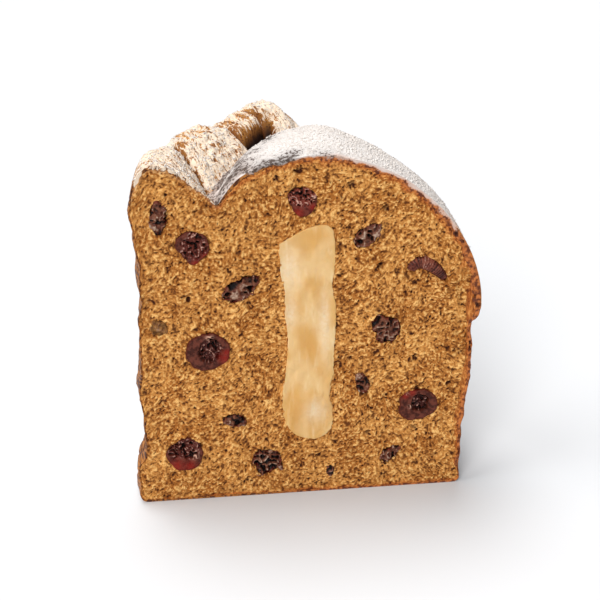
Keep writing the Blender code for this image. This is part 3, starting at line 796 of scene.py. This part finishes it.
def crumb_relief(x, z):
    """Depth of the torn crumb behind the knife's plane, how deep in a bubble each point is, and the
    strands. Strands are ridges of noise stretched along one of four ways, coarse and fine, the ways
    blended by slow noise; bubbles are bowls about scattered points, and larger ones placed."""
    face = upright(x, z)
    bent = face + upright(noise(face, 4.0, 41), noise(face, 4.0, 42))
    lean = 110.0 * noise(face, 24.0, 43) + 50.0
    coarse = 0.0
    strands = 0.0
    total = 0.0
    for number, way in enumerate((0.0, 45.0, 90.0, 135.0)):
        turn = math.radians(way)
        along = bent[..., 0] * math.cos(turn) + bent[..., 2] * math.sin(turn)
        across = bent[..., 2] * math.cos(turn) - bent[..., 0] * math.sin(turn)
        stretched = upright(along, across)
        weight = np.cos(np.radians(lean - way)) ** 4 + 0.05
        coarse = coarse + weight * (1.0 - 2.6 * np.abs(noise(stretched, (3.4, 1.0, 2.0), 44 + number)))
        strands = strands + weight * (1.0 - 3.0 * np.abs(noise(stretched, (2.6, 1.0, 0.95), 54 + number)))
        strands = strands - weight * (1.0 - 3.0 * np.abs(noise(stretched, (1.8, 1.0, 1.1), 48 + number)))
        total = total + weight
    coarse /= total
    strands = 0.55 * strands / total + 0.8 * noise(face, 0.85, 58) + 0.5 * noise(face, 1.7, 59)
    small, _, small_owner = bubbles(bent, 1.9, 61)
    dimples, _, dimple_owner = bubbles(bent * [1.0, 1.0, 1.3], 6.5, 62)
    small = ease(small, 0.48, 0.12) * ease(small_owner, 0.2, 0.7)
    dimples = ease(dimples, 0.55, 0.05) * ease(dimple_owner, 0.35, 0.9)
    holes = np.zeros_like(x)
    ragged = 0.55 * noise(face, 1.6, 60)
    for hole_x, hole_z, radius in LARGE_HOLES:
        away = np.hypot(bent[..., 0] - hole_x, bent[..., 2] - hole_z) / radius
        holes = np.maximum(holes, ease(away + ragged, 1.25, 0.3))
    pit = np.clip(0.8 * small + 0.7 * holes + 0.62 * dimples + 0.5 * np.clip(-strands, 0.0, 1.0), 0.0, 1.0)
    depth = 0.7 * small + HOLE_DEPTH * holes + 1.9 * dimples - 0.30 * coarse - 0.36 * strands
    depth += 0.6 * noise(face, 17.0, 63) + 0.6 * noise(face, 5.0, 64)
    return depth, pit, strands


def crumb_edges():
    """The cut's outline moved in by most of the crust's thickness, told as four curves: x of the
    left and right edges against height, and x and height of the edge along the crown."""
    points, _, loop = crust_skin()
    outline = points[loop]
    inwards, thick = cut_rim(outline)
    inner = outline + inwards * (thick * 0.8)[:, None]
    base = len(inner) // 2
    right_side = inner[: base + 1][::-1]
    left_side = inner[base:]
    right_side = right_side[(right_side[:, 0] > 60.0) & (right_side[:, 2] < LIP_HEIGHT + 1.0)]
    left_side = left_side[(left_side[:, 0] < -60.0) & (left_side[:, 2] < 172.0)]
    crown = np.concatenate([inner[base:], inner[:base]])
    past_left_side = (crown[:, 0] > -70.0) | (crown[:, 2] > 171.0)
    crown = crown[(crown[:, 2] > LIP_HEIGHT) & past_left_side]
    return left_side, right_side, crown


def crumb_face():
    """A grid from the left edge to the right and from the base to the crown, pushed back by the
    relief and under each fruit, and what its finish reads from point to point."""
    u = np.linspace(0.0, 1.0, CRUMB_COLUMNS + 1)[:, None]
    v = np.linspace(0.0, 1.0, CRUMB_ROWS + 1)[None, :]
    u = u * (1.0 + 0.2 * (1.0 - u))
    left_side, right_side, crown = crumb_edges()
    crown_x = np.maximum.accumulate(crown[:, 0])
    top_x = (crown_x[0] + (crown_x[-1] - crown_x[0]) * u)[:, 0]
    top_z = np.interp(top_x, crown_x, crown[:, 2])
    foot = 0.8 + 0.25 * noise(upright(top_x, 0.0 * top_x), 6.0, 70)

    def edge_x(side, z):
        """x of a side's curve at a height."""
        heights = np.maximum.accumulate(side[:, 2])
        return np.interp(z, heights, side[:, 0])

    left = edge_x(left_side, foot[0] + v * (top_z[0] - foot[0]))
    right = edge_x(right_side, foot[-1] + v * (top_z[-1] - foot[-1]))
    x = left + (right - left) * u
    z = foot[:, None] + v * (top_z - foot)[:, None]

    slope = np.abs(np.gradient(top_z, top_x))[:, None]
    down = (top_z[:, None] - z) / np.sqrt(1.0 + slope**2)
    from_side = np.minimum(x - left, right - x)
    edge = np.minimum(np.minimum(down, from_side), z - foot[:, None])
    face = upright(x, z)
    thickness = 0.7 + 1.1 * ease(x, 30.0, 75.0) * ease(z, 4.0, 30.0)
    thickness += 2.4 * ease(down, 9.0, 3.0) * ease(x, -52.0, -34.0)
    thickness = thickness * (1.0 + 0.6 * noise(face, 4.5, 65)) * (0.35 + 0.65 * ease(x, -60.0, -40.0))
    thickness = thickness + 1.0 * ease(z, 5.0, 2.0) * (1.0 + 0.7 * noise(face, 6.0, 78))
    rind = ease(edge, thickness * 1.5, 0.0)
    dust = ease(down, 2.0 + noise(face, 3.0, 71), 0.2) * ease(x, -40.0, -50.0)

    depth, pit, strands = crumb_relief(x, z)
    depth = depth * (1.0 - 0.5 * rind) * ease(edge, 0.0, 1.0) + 0.45
    for place in (*CHERRIES.values(), *RAISINS.values()):
        depth = depth + FRUIT_SOCKET * ease(from_fruit(x, z, place), 1.0, 0.84)
    strip = np.min([np.hypot(x - a, z - b) - r for a, b, r in peel_beads()], axis=0)
    depth = depth + FRUIT_SOCKET * ease(strip, 0.0, -1.2)
    cream_left, cream_right = cream_edges(z)
    in_cream = np.minimum(x - cream_left, cream_right - x)
    depth = depth + CREAM_SOCKET * ease(in_cream, 0.3, 1.6)
    depth = np.clip(depth, -0.8, CRUMB_BACK - 0.6)
    carried = {"pit": pit, "rind": rind, "strand": strands, "dust": dust}
    return np.stack([x, CUT + depth, z], axis=-1), carried


def slab_piece(skin, carried):
    """One closed piece of the slab: its part of the face, a wall back from its edges, and a fan."""
    count = skin.shape[0] * skin.shape[1]
    numbers = np.arange(count).reshape(skin.shape[:2])
    loop = np.concatenate([numbers[:-1, 0], numbers[-1, :-1], numbers[1:, -1][::-1], numbers[0, 1:][::-1]])
    hub = skin.reshape(-1, 3).mean(axis=0)
    hub[1] = CUT + CRUMB_BACK
    back = skin.reshape(-1, 3)[loop]
    back[:, 1] = CUT + CRUMB_BACK
    inwards = hub - back
    back += inwards / np.linalg.norm(inwards, axis=1)[:, None] * BACK_TAPER
    points = np.concatenate([skin.reshape(-1, 3), back, [hub]])
    back_loop = count + np.arange(len(loop))
    faces = grid_faces(numbers) + band_faces(loop, back_loop) + fan_faces(back_loop, len(points) - 1)
    spare = np.zeros(len(back) + 1)
    return points, faces, {name: np.concatenate([value.ravel(), spare]) for name, value in carried.items()}


crumb = Finish("torn golden-brown crumb", Roughness=0.85, Specular_IOR_Level=0.25)
patches = crumb.hills(16.0)
grain = crumb.hills(0.42, 2.0)
pit = crumb.told("pit")
strand = crumb.told("strand")
body = crumb.mix(patches.eased(0.35, 0.65), paint(178, 109, 42), paint(210, 143, 70))
# Painted light and shade: the crumb is lighter where its strands and the bump's grain stand up and darker
# where they sink, in the browned rind too.
painted_strand_light = (strand * 0.6 + (grain - 0.5) * 1.6).eased(0.0, 0.75)
painted_hollow_shade = (strand * 0.6 + (grain - 0.5) * 1.2).eased(0.05, -0.65)
body = crumb.mix(painted_strand_light, body, crumb.mix(0.88, body, paint(255, 202, 124)))
body = crumb.mix(painted_hollow_shade, body, crumb.mix(0.8, body, paint(84, 36, 6)))
# Painted shade: bubbles, holes, dimples and the gaps between strands are painted near black, darkest where
# deepest.
body = crumb.mix(pit.eased(0.3, 0.95), body, paint(60, 22, 4))
rind = (crumb.told("rind") + (grain - 0.5) * 0.5).eased(0.2, 1.0)
browned = crumb.mix(painted_hollow_shade, paint(178, 94, 36), paint(100, 40, 10))
browned = crumb.mix(painted_strand_light, browned, paint(222, 142, 66))
body = crumb.mix(rind * 0.85, body, browned)
body = crumb.mix(crumb.told("dust") * (0.15 + painted_strand_light * 0.55), body, paint(214, 178, 138))
crumb.wear(Base_Color=body)
crumb.relief(grain, 0.5)

skin, carried = crumb_face()
left_and_right, low_and_high = (
    (slice(0, end // 2 + 1), slice(end // 2, None)) for end in (CRUMB_COLUMNS, CRUMB_ROWS)
)
quarters = [(columns, rows) for columns in left_and_right for rows in low_and_high]
for number, quarter in enumerate(quarters, 1):
    part = {name: value[quarter] for name, value in carried.items()}
    points, faces, part = slab_piece(skin[quarter], part)
    make_piece(f"crumb_{number}", points, faces, crumb, "crumb", ["loaf"], **part)


# The cream
#
# Pale custard cream piped down the middle, smeared a little by the knife: a column with a flat
# front that shows vertical drag marks, rounded behind.

CREAM_AROUND = 150
CREAM_ALONG = 230
CREAM_DEPTH = 21.0
CREAM_PROUD = 0.6
CREAM_SMEAR = 0.5


def closed_skin(skin):
    """Points and faces of a grid that closes on itself round its first way, with a fan over each
    end of its second. Faces point out where the first way turns to the second anticlockwise."""
    count = skin.shape[0] * skin.shape[1]
    numbers = np.arange(count).reshape(skin.shape[:2])
    ends = np.array([skin[:, 0].mean(axis=0), skin[:, -1].mean(axis=0)])
    faces = grid_faces(np.concatenate([numbers, numbers[:1]]))
    faces += fan_faces(numbers[:, 0], count)
    faces += fan_faces(numbers[::-1, -1], count + 1)
    return np.concatenate([skin.reshape(-1, 3), ends]), faces


def cream_column():
    """A closed tube up the loaf: across it a superellipse, flat at the cut and deep behind, smeared
    half a millimetre over the crumb at its edges; drag marks are noise stretched upwards."""
    around = np.linspace(0.0, 2.0 * math.pi, CREAM_AROUND, endpoint=False)[:, None]
    rise = np.linspace(-1.0, 1.0, CREAM_ALONG + 2)[None, 1:-1]
    rise = np.sin(rise * math.pi / 2.0)
    around, rise = np.broadcast_arrays(around, rise)
    full = (1.0 - rise**6) ** 0.5
    low, high = CREAM_HEIGHTS[0], CREAM_HEIGHTS[-1]
    z = (low + high) / 2.0 + (high - low) / 2.0 * rise
    left, right = cream_edges(z)
    across = np.sign(np.cos(around)) * np.abs(np.cos(around)) ** 0.75
    inward = np.sin(around)
    x = (left + right) / 2.0 + ((right - left) / 2.0 + CREAM_SMEAR) * across
    z = z + 0.6 * rise**5
    front = np.clip(-inward, 0.0, 1.0) ** 0.35
    y = CUT + np.where(inward < 0.0, -CREAM_PROUD * front, CREAM_DEPTH * inward * full)
    face = upright(x, z)
    drag = 0.12 * noise(face, (2.6, 1.0, 22.0), 71) + 0.08 * noise(face, (1.1, 1.0, 9.0), 72)
    soft = 0.6 * noise(face, (9.0, 1.0, 14.0), 73) + 0.4 * noise(face, 4.5, 74) + 0.14 * noise(face, 1.8, 76)
    y = y + (drag + soft) * np.clip(front * 1.3, 0.0, 1.0) * (inward < 0.0) * full
    x = x + (0.4 * noise(face, 3.0, 75) + 0.3 * noise(face, 1.3, 77)) * np.abs(across)
    return closed_skin(np.stack([x, y, z], axis=-1))


def cream_patch(points, middle_x, middle_z, half_wide, half_high):
    """A soft ellipse on the cream's front, from 1 at its middle."""
    across = (points[:, 0] - middle_x) / half_wide
    upwards = (points[:, 2] - middle_z) / half_high
    return hump(np.hypot(across, upwards), 0.0, 1.0)


cream = Finish(
    "custard cream", Subsurface_Weight=0.25, Subsurface_Scale=0.004, Subsurface_Radius=(1.0, 0.6, 0.3)
)
streaks = cream.hills((3.0, 3.0, 16.0), 3.0)
clouds = cream.hills((12.0, 12.0, 20.0), 2.0)
fine = cream.hills(1.5, 3.0)
custard = cream.mix(clouds.eased(0.38, 0.62), paint(214, 164, 92), paint(226, 186, 126))
custard = cream.mix(streaks.eased(0.52, 0.80) * 0.5, custard, paint(240, 216, 172))
custard = cream.mix(cream.told("whitish") * (0.2 + 0.6 * fine), custard, paint(238, 220, 190))
custard = cream.mix(cream.told("yellow") * 0.7, custard, paint(210, 154, 74))
cream.wear(Base_Color=custard, Roughness=0.34 + 0.2 * clouds)
cream.relief(fine * 0.5 + streaks * 0.4, 0.35)

points, faces = cream_column()
whitish = cream_patch(points, -9.5, 133.0, 5.0, 12.0) + cream_patch(points, -9.0, 108.0, 3.0, 9.0)
whitish += cream_patch(points, 4.0, 50.0, 6.0, 7.0) + cream_patch(points, 8.5, 100.0, 3.0, 18.0)
yellow = cream_patch(points, -7.0, 47.0, 5.5, 11.0) + cream_patch(points, 1.0, 88.0, 5.0, 9.0)
yellow += cream_patch(points, 6.0, 150.0, 7.0, 4.0)
make_piece("cream_column", points, faces, cream, "cream", ["cream"], whitish=whitish, yellow=yellow)


# The cherries
#
# Large candied cherries, cut across by the knife. A dark red skin runs round a purple-brown
# flesh, and the stone's hollow is lined with coarse sugared fibre that glints. The hollow's darkness,
# the glints and a red glow through the flesh are painted in as shade and light.

FRUIT_PROUD = 0.7
CHERRY_DEPTH = 8.0
CHERRY_RAGGED = 0.05
CHERRY_GRID = (96, 150)


def fruit_skin(place, depth, ragged, grid, relief):
    """A lumpy body with its poles front and back, whose outline is the fruit's: a flattened front
    that stands just proud of the cut, and a deep back. ragged is the share by which the outline
    wavers, and relief gives the push along the view by the place on the front."""
    rows, columns = grid
    fall = np.linspace(0.0, math.pi, rows + 2)[1:-1][None, :]
    around = -np.linspace(0.0, 2.0 * math.pi, columns, endpoint=False)[:, None]
    fall, around = np.broadcast_arrays(fall, around)
    out = np.sin(fall) ** 0.8
    reach = outline_reach(around, place[2])
    flat = upright(np.cos(around) * reach, np.sin(around) * reach) + [0.0, 40.0 * place[0], 0.0]
    reach = reach * (1.0 + ragged * (noise(flat, 3.2, 81) + 0.5 * noise(flat, 1.3, 82))) * out
    lx = reach * np.cos(around)
    lz = reach * np.sin(around)
    front = np.clip(np.cos(fall), 0.0, 1.0)
    y = np.where(front > 0.0, -FRUIT_PROUD * front**0.4, -depth * np.cos(fall))
    push, carried = relief(lx, lz, out)
    y = y + push * ease(front, 0.0, 0.3)
    points, faces = closed_skin(np.stack([place[0] + lx, CUT + y, place[1] + lz], axis=-1))
    for name, value in carried.items():
        carried[name] = np.append(value, [value[:, 0].mean(), value[:, -1].mean()])
    return points, faces, carried


def cherry_relief(hollow, glow, glint, seed):
    """A bowl for the stone's hollow, told by its middle, half width, half height, depth and
    hollow_shade, the share by which it is painted dark as shade, with squirming ridges and grains in
    it; places told by middle and radius where red flesh clear enough to let light through is painted
    glowing; and others painted with highlights where crystals of sugar catch the light."""

    def spots(lx, lz, places):
        """Soft round spots, each a bell about its middle, added up to 1 at most."""
        total = sum((hump(np.hypot(lx - x, lz - z), 0.0, radius) for x, z, radius in places), 0.0 * lx)
        return np.clip(total, 0.0, 1.0)

    def relief(lx, lz, out):
        """The push of the cut face along the view, and what its finish reads."""
        flat = upright(lx, lz) + [0.0, seed * 31.0, 0.0]
        away = np.hypot((lx - hollow[0]) / hollow[2], (lz - hollow[1]) / hollow[3])
        away = away + 0.18 * noise(flat, 2.6, seed)
        deep = ease(away, 1.06, 0.82)
        bent = flat + 1.2 * upright(noise(flat, 3.0, seed + 4), noise(flat, 3.0, seed + 5))
        grains = 1.0 - 2.8 * np.abs(noise(bent, 1.5, seed + 1)) + 0.8 * noise(flat, 0.8, seed + 2)
        push = deep * (hollow[4] - 0.8 * grains) + (1.0 - deep) * 0.30 * noise(flat, 3.0, seed + 3)
        told = {"hollow": deep, "glow": spots(lx, lz, glow), "glint": spots(lx, lz, glint)}
        told |= {"skin": ease(out, 0.90, 0.99), "grain": grains, "hollow_shade": 0.0 * lx + hollow[5]}
        return push, told

    return relief


CHERRY_CUTS = {
    "cherry_1": ((1.2, 0.6, 7.2, 7.6, 0.8, 0.5), ((1.5, -9.0, 2.2), (6.8, -5.5, 2.0)), (), 101),
    "cherry_2": (
        (0.8, 2.0, 7.4, 5.6, 0.2, 0.0), ((-1.4, -6.6, 3.0), (5.6, -3.4, 2.0)), ((6.2, 0.8, 1.0),), 111,
    ),
    "cherry_3": (
        (1.2, 0.4, 6.2, 7.2, 1.8, 0.85), ((8.2, -4.6, 3.0), (9.6, -1.0, 1.4)), ((0.8, 7.4, 1.6),), 121,
    ),
    "cherry_4": (
        (1.4, 0.6, 4.4, 5.6, 2.4, 0.95), ((-3.0, 7.0, 1.8), (-6.6, 5.0, 1.6)),
        ((-5.4, 6.8, 1.0), (-4.0, -1.2, 1.0)), 131,
    ),
    "cherry_5": (
        (1.0, 3.2, 9.2, 6.2, 1.3, 0.6), ((-4.0, -7.0, 4.0), (3.5, -7.5, 3.0)), ((6.0, -2.0, 1.4),), 141,
    ),
}

cherry = Finish("candied cherry", Specular_IOR_Level=0.16)
mottle = cherry.hills(2.2, 3.0)
fine = cherry.hills(0.7, 2.0)
grain = cherry.told("grain") + (fine - 0.5) * 1.4
flesh = cherry.mix(mottle.eased(0.35, 0.65), paint(60, 22, 12), paint(104, 52, 38))
flesh = cherry.mix(cherry.told("skin") * 0.8, flesh, paint(84, 24, 10))
# Painted light and shade in the hollow: the grains are dark in their gaps and light on their ridges, with
# painted highlights on the highest. dim is the same painted in shade, mixed in by how dark each hollow is to
# look.
lit = cherry.mix(grain.eased(-1.1, 0.5), paint(16, 3, 2), paint(122, 54, 40))
lit = cherry.mix(grain.eased(0.6, 1.35) * 0.9, lit, paint(214, 168, 150))
dim = cherry.mix(grain.eased(-0.6, 0.9), paint(9, 2, 1), paint(60, 20, 14))
dim = cherry.mix(grain.eased(0.8, 1.5) * 0.85, dim, paint(196, 146, 128))
inner = cherry.mix(cherry.told("hollow_shade"), lit, dim)
flesh = cherry.mix(cherry.told("hollow"), flesh, inner)
# Painted glow: the flesh's own red, brightened where light would shine through it.
flesh = cherry.mix(cherry.told("glow") * (0.15 + 0.9 * fine), flesh, paint(150, 22, 8))
# Painted highlights: glints where the sugar crystals catch the light.
flesh = cherry.mix(cherry.told("glint") * grain.eased(-0.2, 0.8), flesh, paint(226, 176, 150))
cherry.wear(Base_Color=flesh, Roughness=0.2 + 0.25 * mottle)
cherry.relief(fine, 0.35)

for name, place in CHERRIES.items():
    relief = cherry_relief(*CHERRY_CUTS[name])
    points, faces, carried = fruit_skin(place, CHERRY_DEPTH, CHERRY_RAGGED, CHERRY_GRID, relief)
    make_piece(name + "_fruit", points, faces, cherry, "cherry", [name], **carried)


# The raisins
#
# Dark raisins, shrunk into deep folds that mostly run lengthwise, glossy, with painted highlights
# # where the skin stands proud and painted shade, near black, between. The last one lies just under the
# crumb.

RAISIN_RAGGED = 0.2
RAISIN_GRID = (80, 130)
FIRST_SEED = 200
CREASED = 8
BURIED = 0.75


def raisin_relief(seed, fold):
    """Folds: squirming ridges of noise with finer creases across them, and lumps under both."""

    def relief(lx, lz, out):
        """The push of the cut face along the view, and what its finish reads."""
        flat = upright(lx, lz) + [0.0, seed * 17.0, 0.0]
        bent = flat + 1.4 * upright(noise(flat, 3.4, seed + 4), noise(flat, 3.4, seed + 5))
        crinkle = 1.0 - 2.8 * np.abs(noise(bent, 2.6, seed)) + 0.7 * noise(flat, 1.1, seed + 1)
        lumps = noise(flat, 4.5, seed + 2)
        told = {"fold": crinkle, "edge": ease(out, 0.75, 0.95)}
        return fold * (0.5 - 1.2 * crinkle + 0.7 * lumps), told

    return relief


raisin = Finish("dark raisin", Specular_IOR_Level=0.2)
dusky = raisin.hills(2.0, 3.0)
fold = raisin.told("fold") + (raisin.hills(0.7, 2.0) - 0.5) * 1.2
skin = raisin.mix(dusky.eased(0.35, 0.65), paint(86, 36, 20), paint(126, 78, 56))
# Painted shade: near black in the gaps between the folds. Painted highlights sit on the highest folds.
skin = raisin.mix(fold.eased(0.5, -0.5), skin, paint(14, 3, 2))
skin = raisin.mix(fold.eased(0.6, 1.4) * 0.9, skin, paint(188, 160, 138))
skin = raisin.mix(raisin.told("edge") * dusky.eased(0.45, 0.6) * 0.8, skin, paint(100, 26, 10))
crumbed = raisin.mix(dusky.eased(0.3, 0.7), paint(92, 52, 24), paint(160, 112, 56))
skin = raisin.mix(raisin.told("buried"), skin, crumbed)
raisin.wear(Base_Color=skin, Roughness=0.3 + 0.3 * dusky)
raisin.relief(raisin.hills(0.7, 2.0), 0.35)

for number, (name, place) in enumerate(RAISINS.items()):
    depth = min(place[2]) * 0.9
    relief = raisin_relief(FIRST_SEED + 10 * number, 1.0 if number < CREASED else 0.5)
    points, faces, carried = fruit_skin(place, depth, RAISIN_RAGGED, RAISIN_GRID, relief)
    buried = np.full(len(points), BURIED if name == "raisin_10" else 0.0)
    make_piece(name + "_fruit", points, faces, raisin, "raisin", [name], buried=buried, **carried)


# The strip of peel
#
# A curled strip of candied fruit skin near the right edge, hooked at its left end, ribbed across
# and moist, which thins out at both ends.

PEEL_AROUND = 48
PEEL_ALONG = 130
PEEL_SUNK = 2.0
PEEL_PROUD = 1.2
PATH_BLUR = 0.45
END_TAPER = 0.6


def peel_strip():
    """A round section carried along a smoothed path, its radius easing off at the ends, with ribs
    as waves along the path, and its front pressed flat."""
    share = np.linspace(0.0, len(PEEL_X) - 1.0, PEEL_ALONG)
    steps = np.arange(len(PEEL_X))
    blur = hump(share[:, None], share[None, :], PATH_BLUR)
    blur /= blur.sum(axis=1)[:, None]
    x, z, radius = (blur @ np.interp(share, steps, row) for row in (PEEL_X, PEEL_Z, PEEL_RADII))
    ends = np.clip(np.minimum(share, share[-1] - share) / END_TAPER, 0.0, 1.0)
    radius = radius * np.sqrt(1.0 - (1.0 - ends) ** 2) + 0.02
    ahead = np.gradient(np.stack([x, z], axis=1), axis=0)
    ahead /= np.linalg.norm(ahead, axis=1)[:, None]
    flat = upright(x, z)
    ribs = 0.16 * np.sin(share * 19.0 + 2.0 * noise(flat, 3.0, 151)) + 0.25 * noise(flat, 2.4, 152)
    radius = radius + ribs * ends
    around = -np.linspace(0.0, 2.0 * math.pi, PEEL_AROUND, endpoint=False)[:, None]
    across = radius * np.sign(np.cos(around)) * np.abs(np.cos(around)) ** 0.6
    deep = np.maximum(PEEL_SUNK + radius * np.sin(around) * 0.9, 0.3 * ribs - PEEL_PROUD)
    skin = np.stack([x - ahead[:, 1] * across, CUT + deep, z + ahead[:, 0] * across], axis=-1)
    return *closed_skin(skin), np.append(np.tile(ribs, PEEL_AROUND), [0.0, 0.0])


peel = Finish("candied peel", Specular_IOR_Level=0.2)
mottle = peel.hills(2.0, 3.0)
# Painted shade in the grooves between the ribs, and painted highlights along the ribs.
painted_groove_shade = (peel.told("rib") + (peel.hills(0.8, 3.0) - 0.5) * 0.8).eased(0.0, -0.22)
painted_rib_highlight = (peel.told("rib") + (peel.hills(0.6, 3.0) - 0.5) * 1.2).eased(0.25, 0.5)
strip = peel.mix(mottle.eased(0.35, 0.65), paint(84, 32, 22), paint(128, 68, 50))
strip = peel.mix(painted_groove_shade * 0.85, strip, paint(38, 10, 6))
strip = peel.mix(painted_rib_highlight * 0.6, strip, paint(196, 150, 128))
peel.wear(Base_Color=strip, Roughness=0.28 + 0.25 * mottle)
peel.relief(peel.hills(0.9, 2.0), 0.35)

points, faces, rib = peel_strip()
make_piece("peel_strip", points, faces, peel, "peel", ["peel"], rib=rib)


# The table, the light and the camera
#
# A plain white table, and soft light from behind, from the front and from the left, with a little
# from all round. The camera looks at the cut face from 7 degrees to its left and 25 degrees above.

TABLE_HALF = 6.0
LIGHTS = (
    ("key", -24.0, 71.0, 34.0, 2.45),
    ("front", 203.0, 38.0, 26.0, 2.32),
    ("left", 266.0, 52.0, 30.0, 1.00),
)
CAMERA_AZIMUTH = 7.0
CAMERA_ELEVATION = 25.0
CAMERA_DISTANCE = 0.730
CAMERA_TARGET = Vector((-0.004, CUT / 1000.0, 0.115))


def heading(azimuth, elevation):
    """A unit vector so many degrees clockwise from the back as seen from above, and so many up."""
    flat = math.cos(math.radians(elevation))
    across = math.sin(math.radians(azimuth)) * flat
    back = math.cos(math.radians(azimuth)) * flat
    return Vector((across, back, math.sin(math.radians(elevation))))


floor_finish = Finish("white table", Roughness=0.9, Specular_IOR_Level=0.0)
clouded = floor_finish.mix(floor_finish.hills(400.0), paint(210, 210, 211), paint(212, 212, 213))
floor_finish.wear(Base_Color=clouded)
corners = [(x * TABLE_HALF, y * TABLE_HALF, 0.0) for x, y in ((-1, -1), (1, -1), (1, 1), (-1, 1))]
floor_mesh = bpy.data.meshes.new("table")
floor_mesh.from_pydata(corners, [], [(0, 1, 2, 3)])
floor_mesh.materials.append(floor_finish.material)
floor = bpy.data.objects.new("table", floor_mesh)
bpy.context.scene.collection.objects.link(floor)

world = bpy.data.worlds.new("white room")
world.use_nodes = True
background = world.node_tree.nodes["Background"]
background.inputs["Color"].default_value = (0.80, 0.90, 1.0, 1.0)
background.inputs["Strength"].default_value = 0.14
bpy.context.scene.world = world
bpy.context.scene.view_settings.view_transform = "Standard"

for name, azimuth, elevation, spread, strength in LIGHTS:
    light = bpy.data.lights.new(name, "SUN")
    light.angle = math.radians(spread)
    light.energy = strength
    lamp = bpy.data.objects.new(name, light)
    towards = heading(azimuth, elevation)
    lamp.location = towards * 1.5
    lamp.rotation_euler = towards.to_track_quat("Z", "Y").to_euler()
    bpy.context.scene.collection.objects.link(lamp)

camera_data = bpy.data.cameras.new("camera")
camera_data.lens = 86.0
camera_data.sensor_width = 36.0
camera_data.dof.use_dof = False
camera = bpy.data.objects.new("camera", camera_data)
gaze = heading(CAMERA_AZIMUTH, -CAMERA_ELEVATION)
camera.location = CAMERA_TARGET - gaze * CAMERA_DISTANCE
camera.rotation_euler = gaze.to_track_quat("-Z", "Y").to_euler()
bpy.context.scene.collection.objects.link(camera)
bpy.context.scene.camera = camera
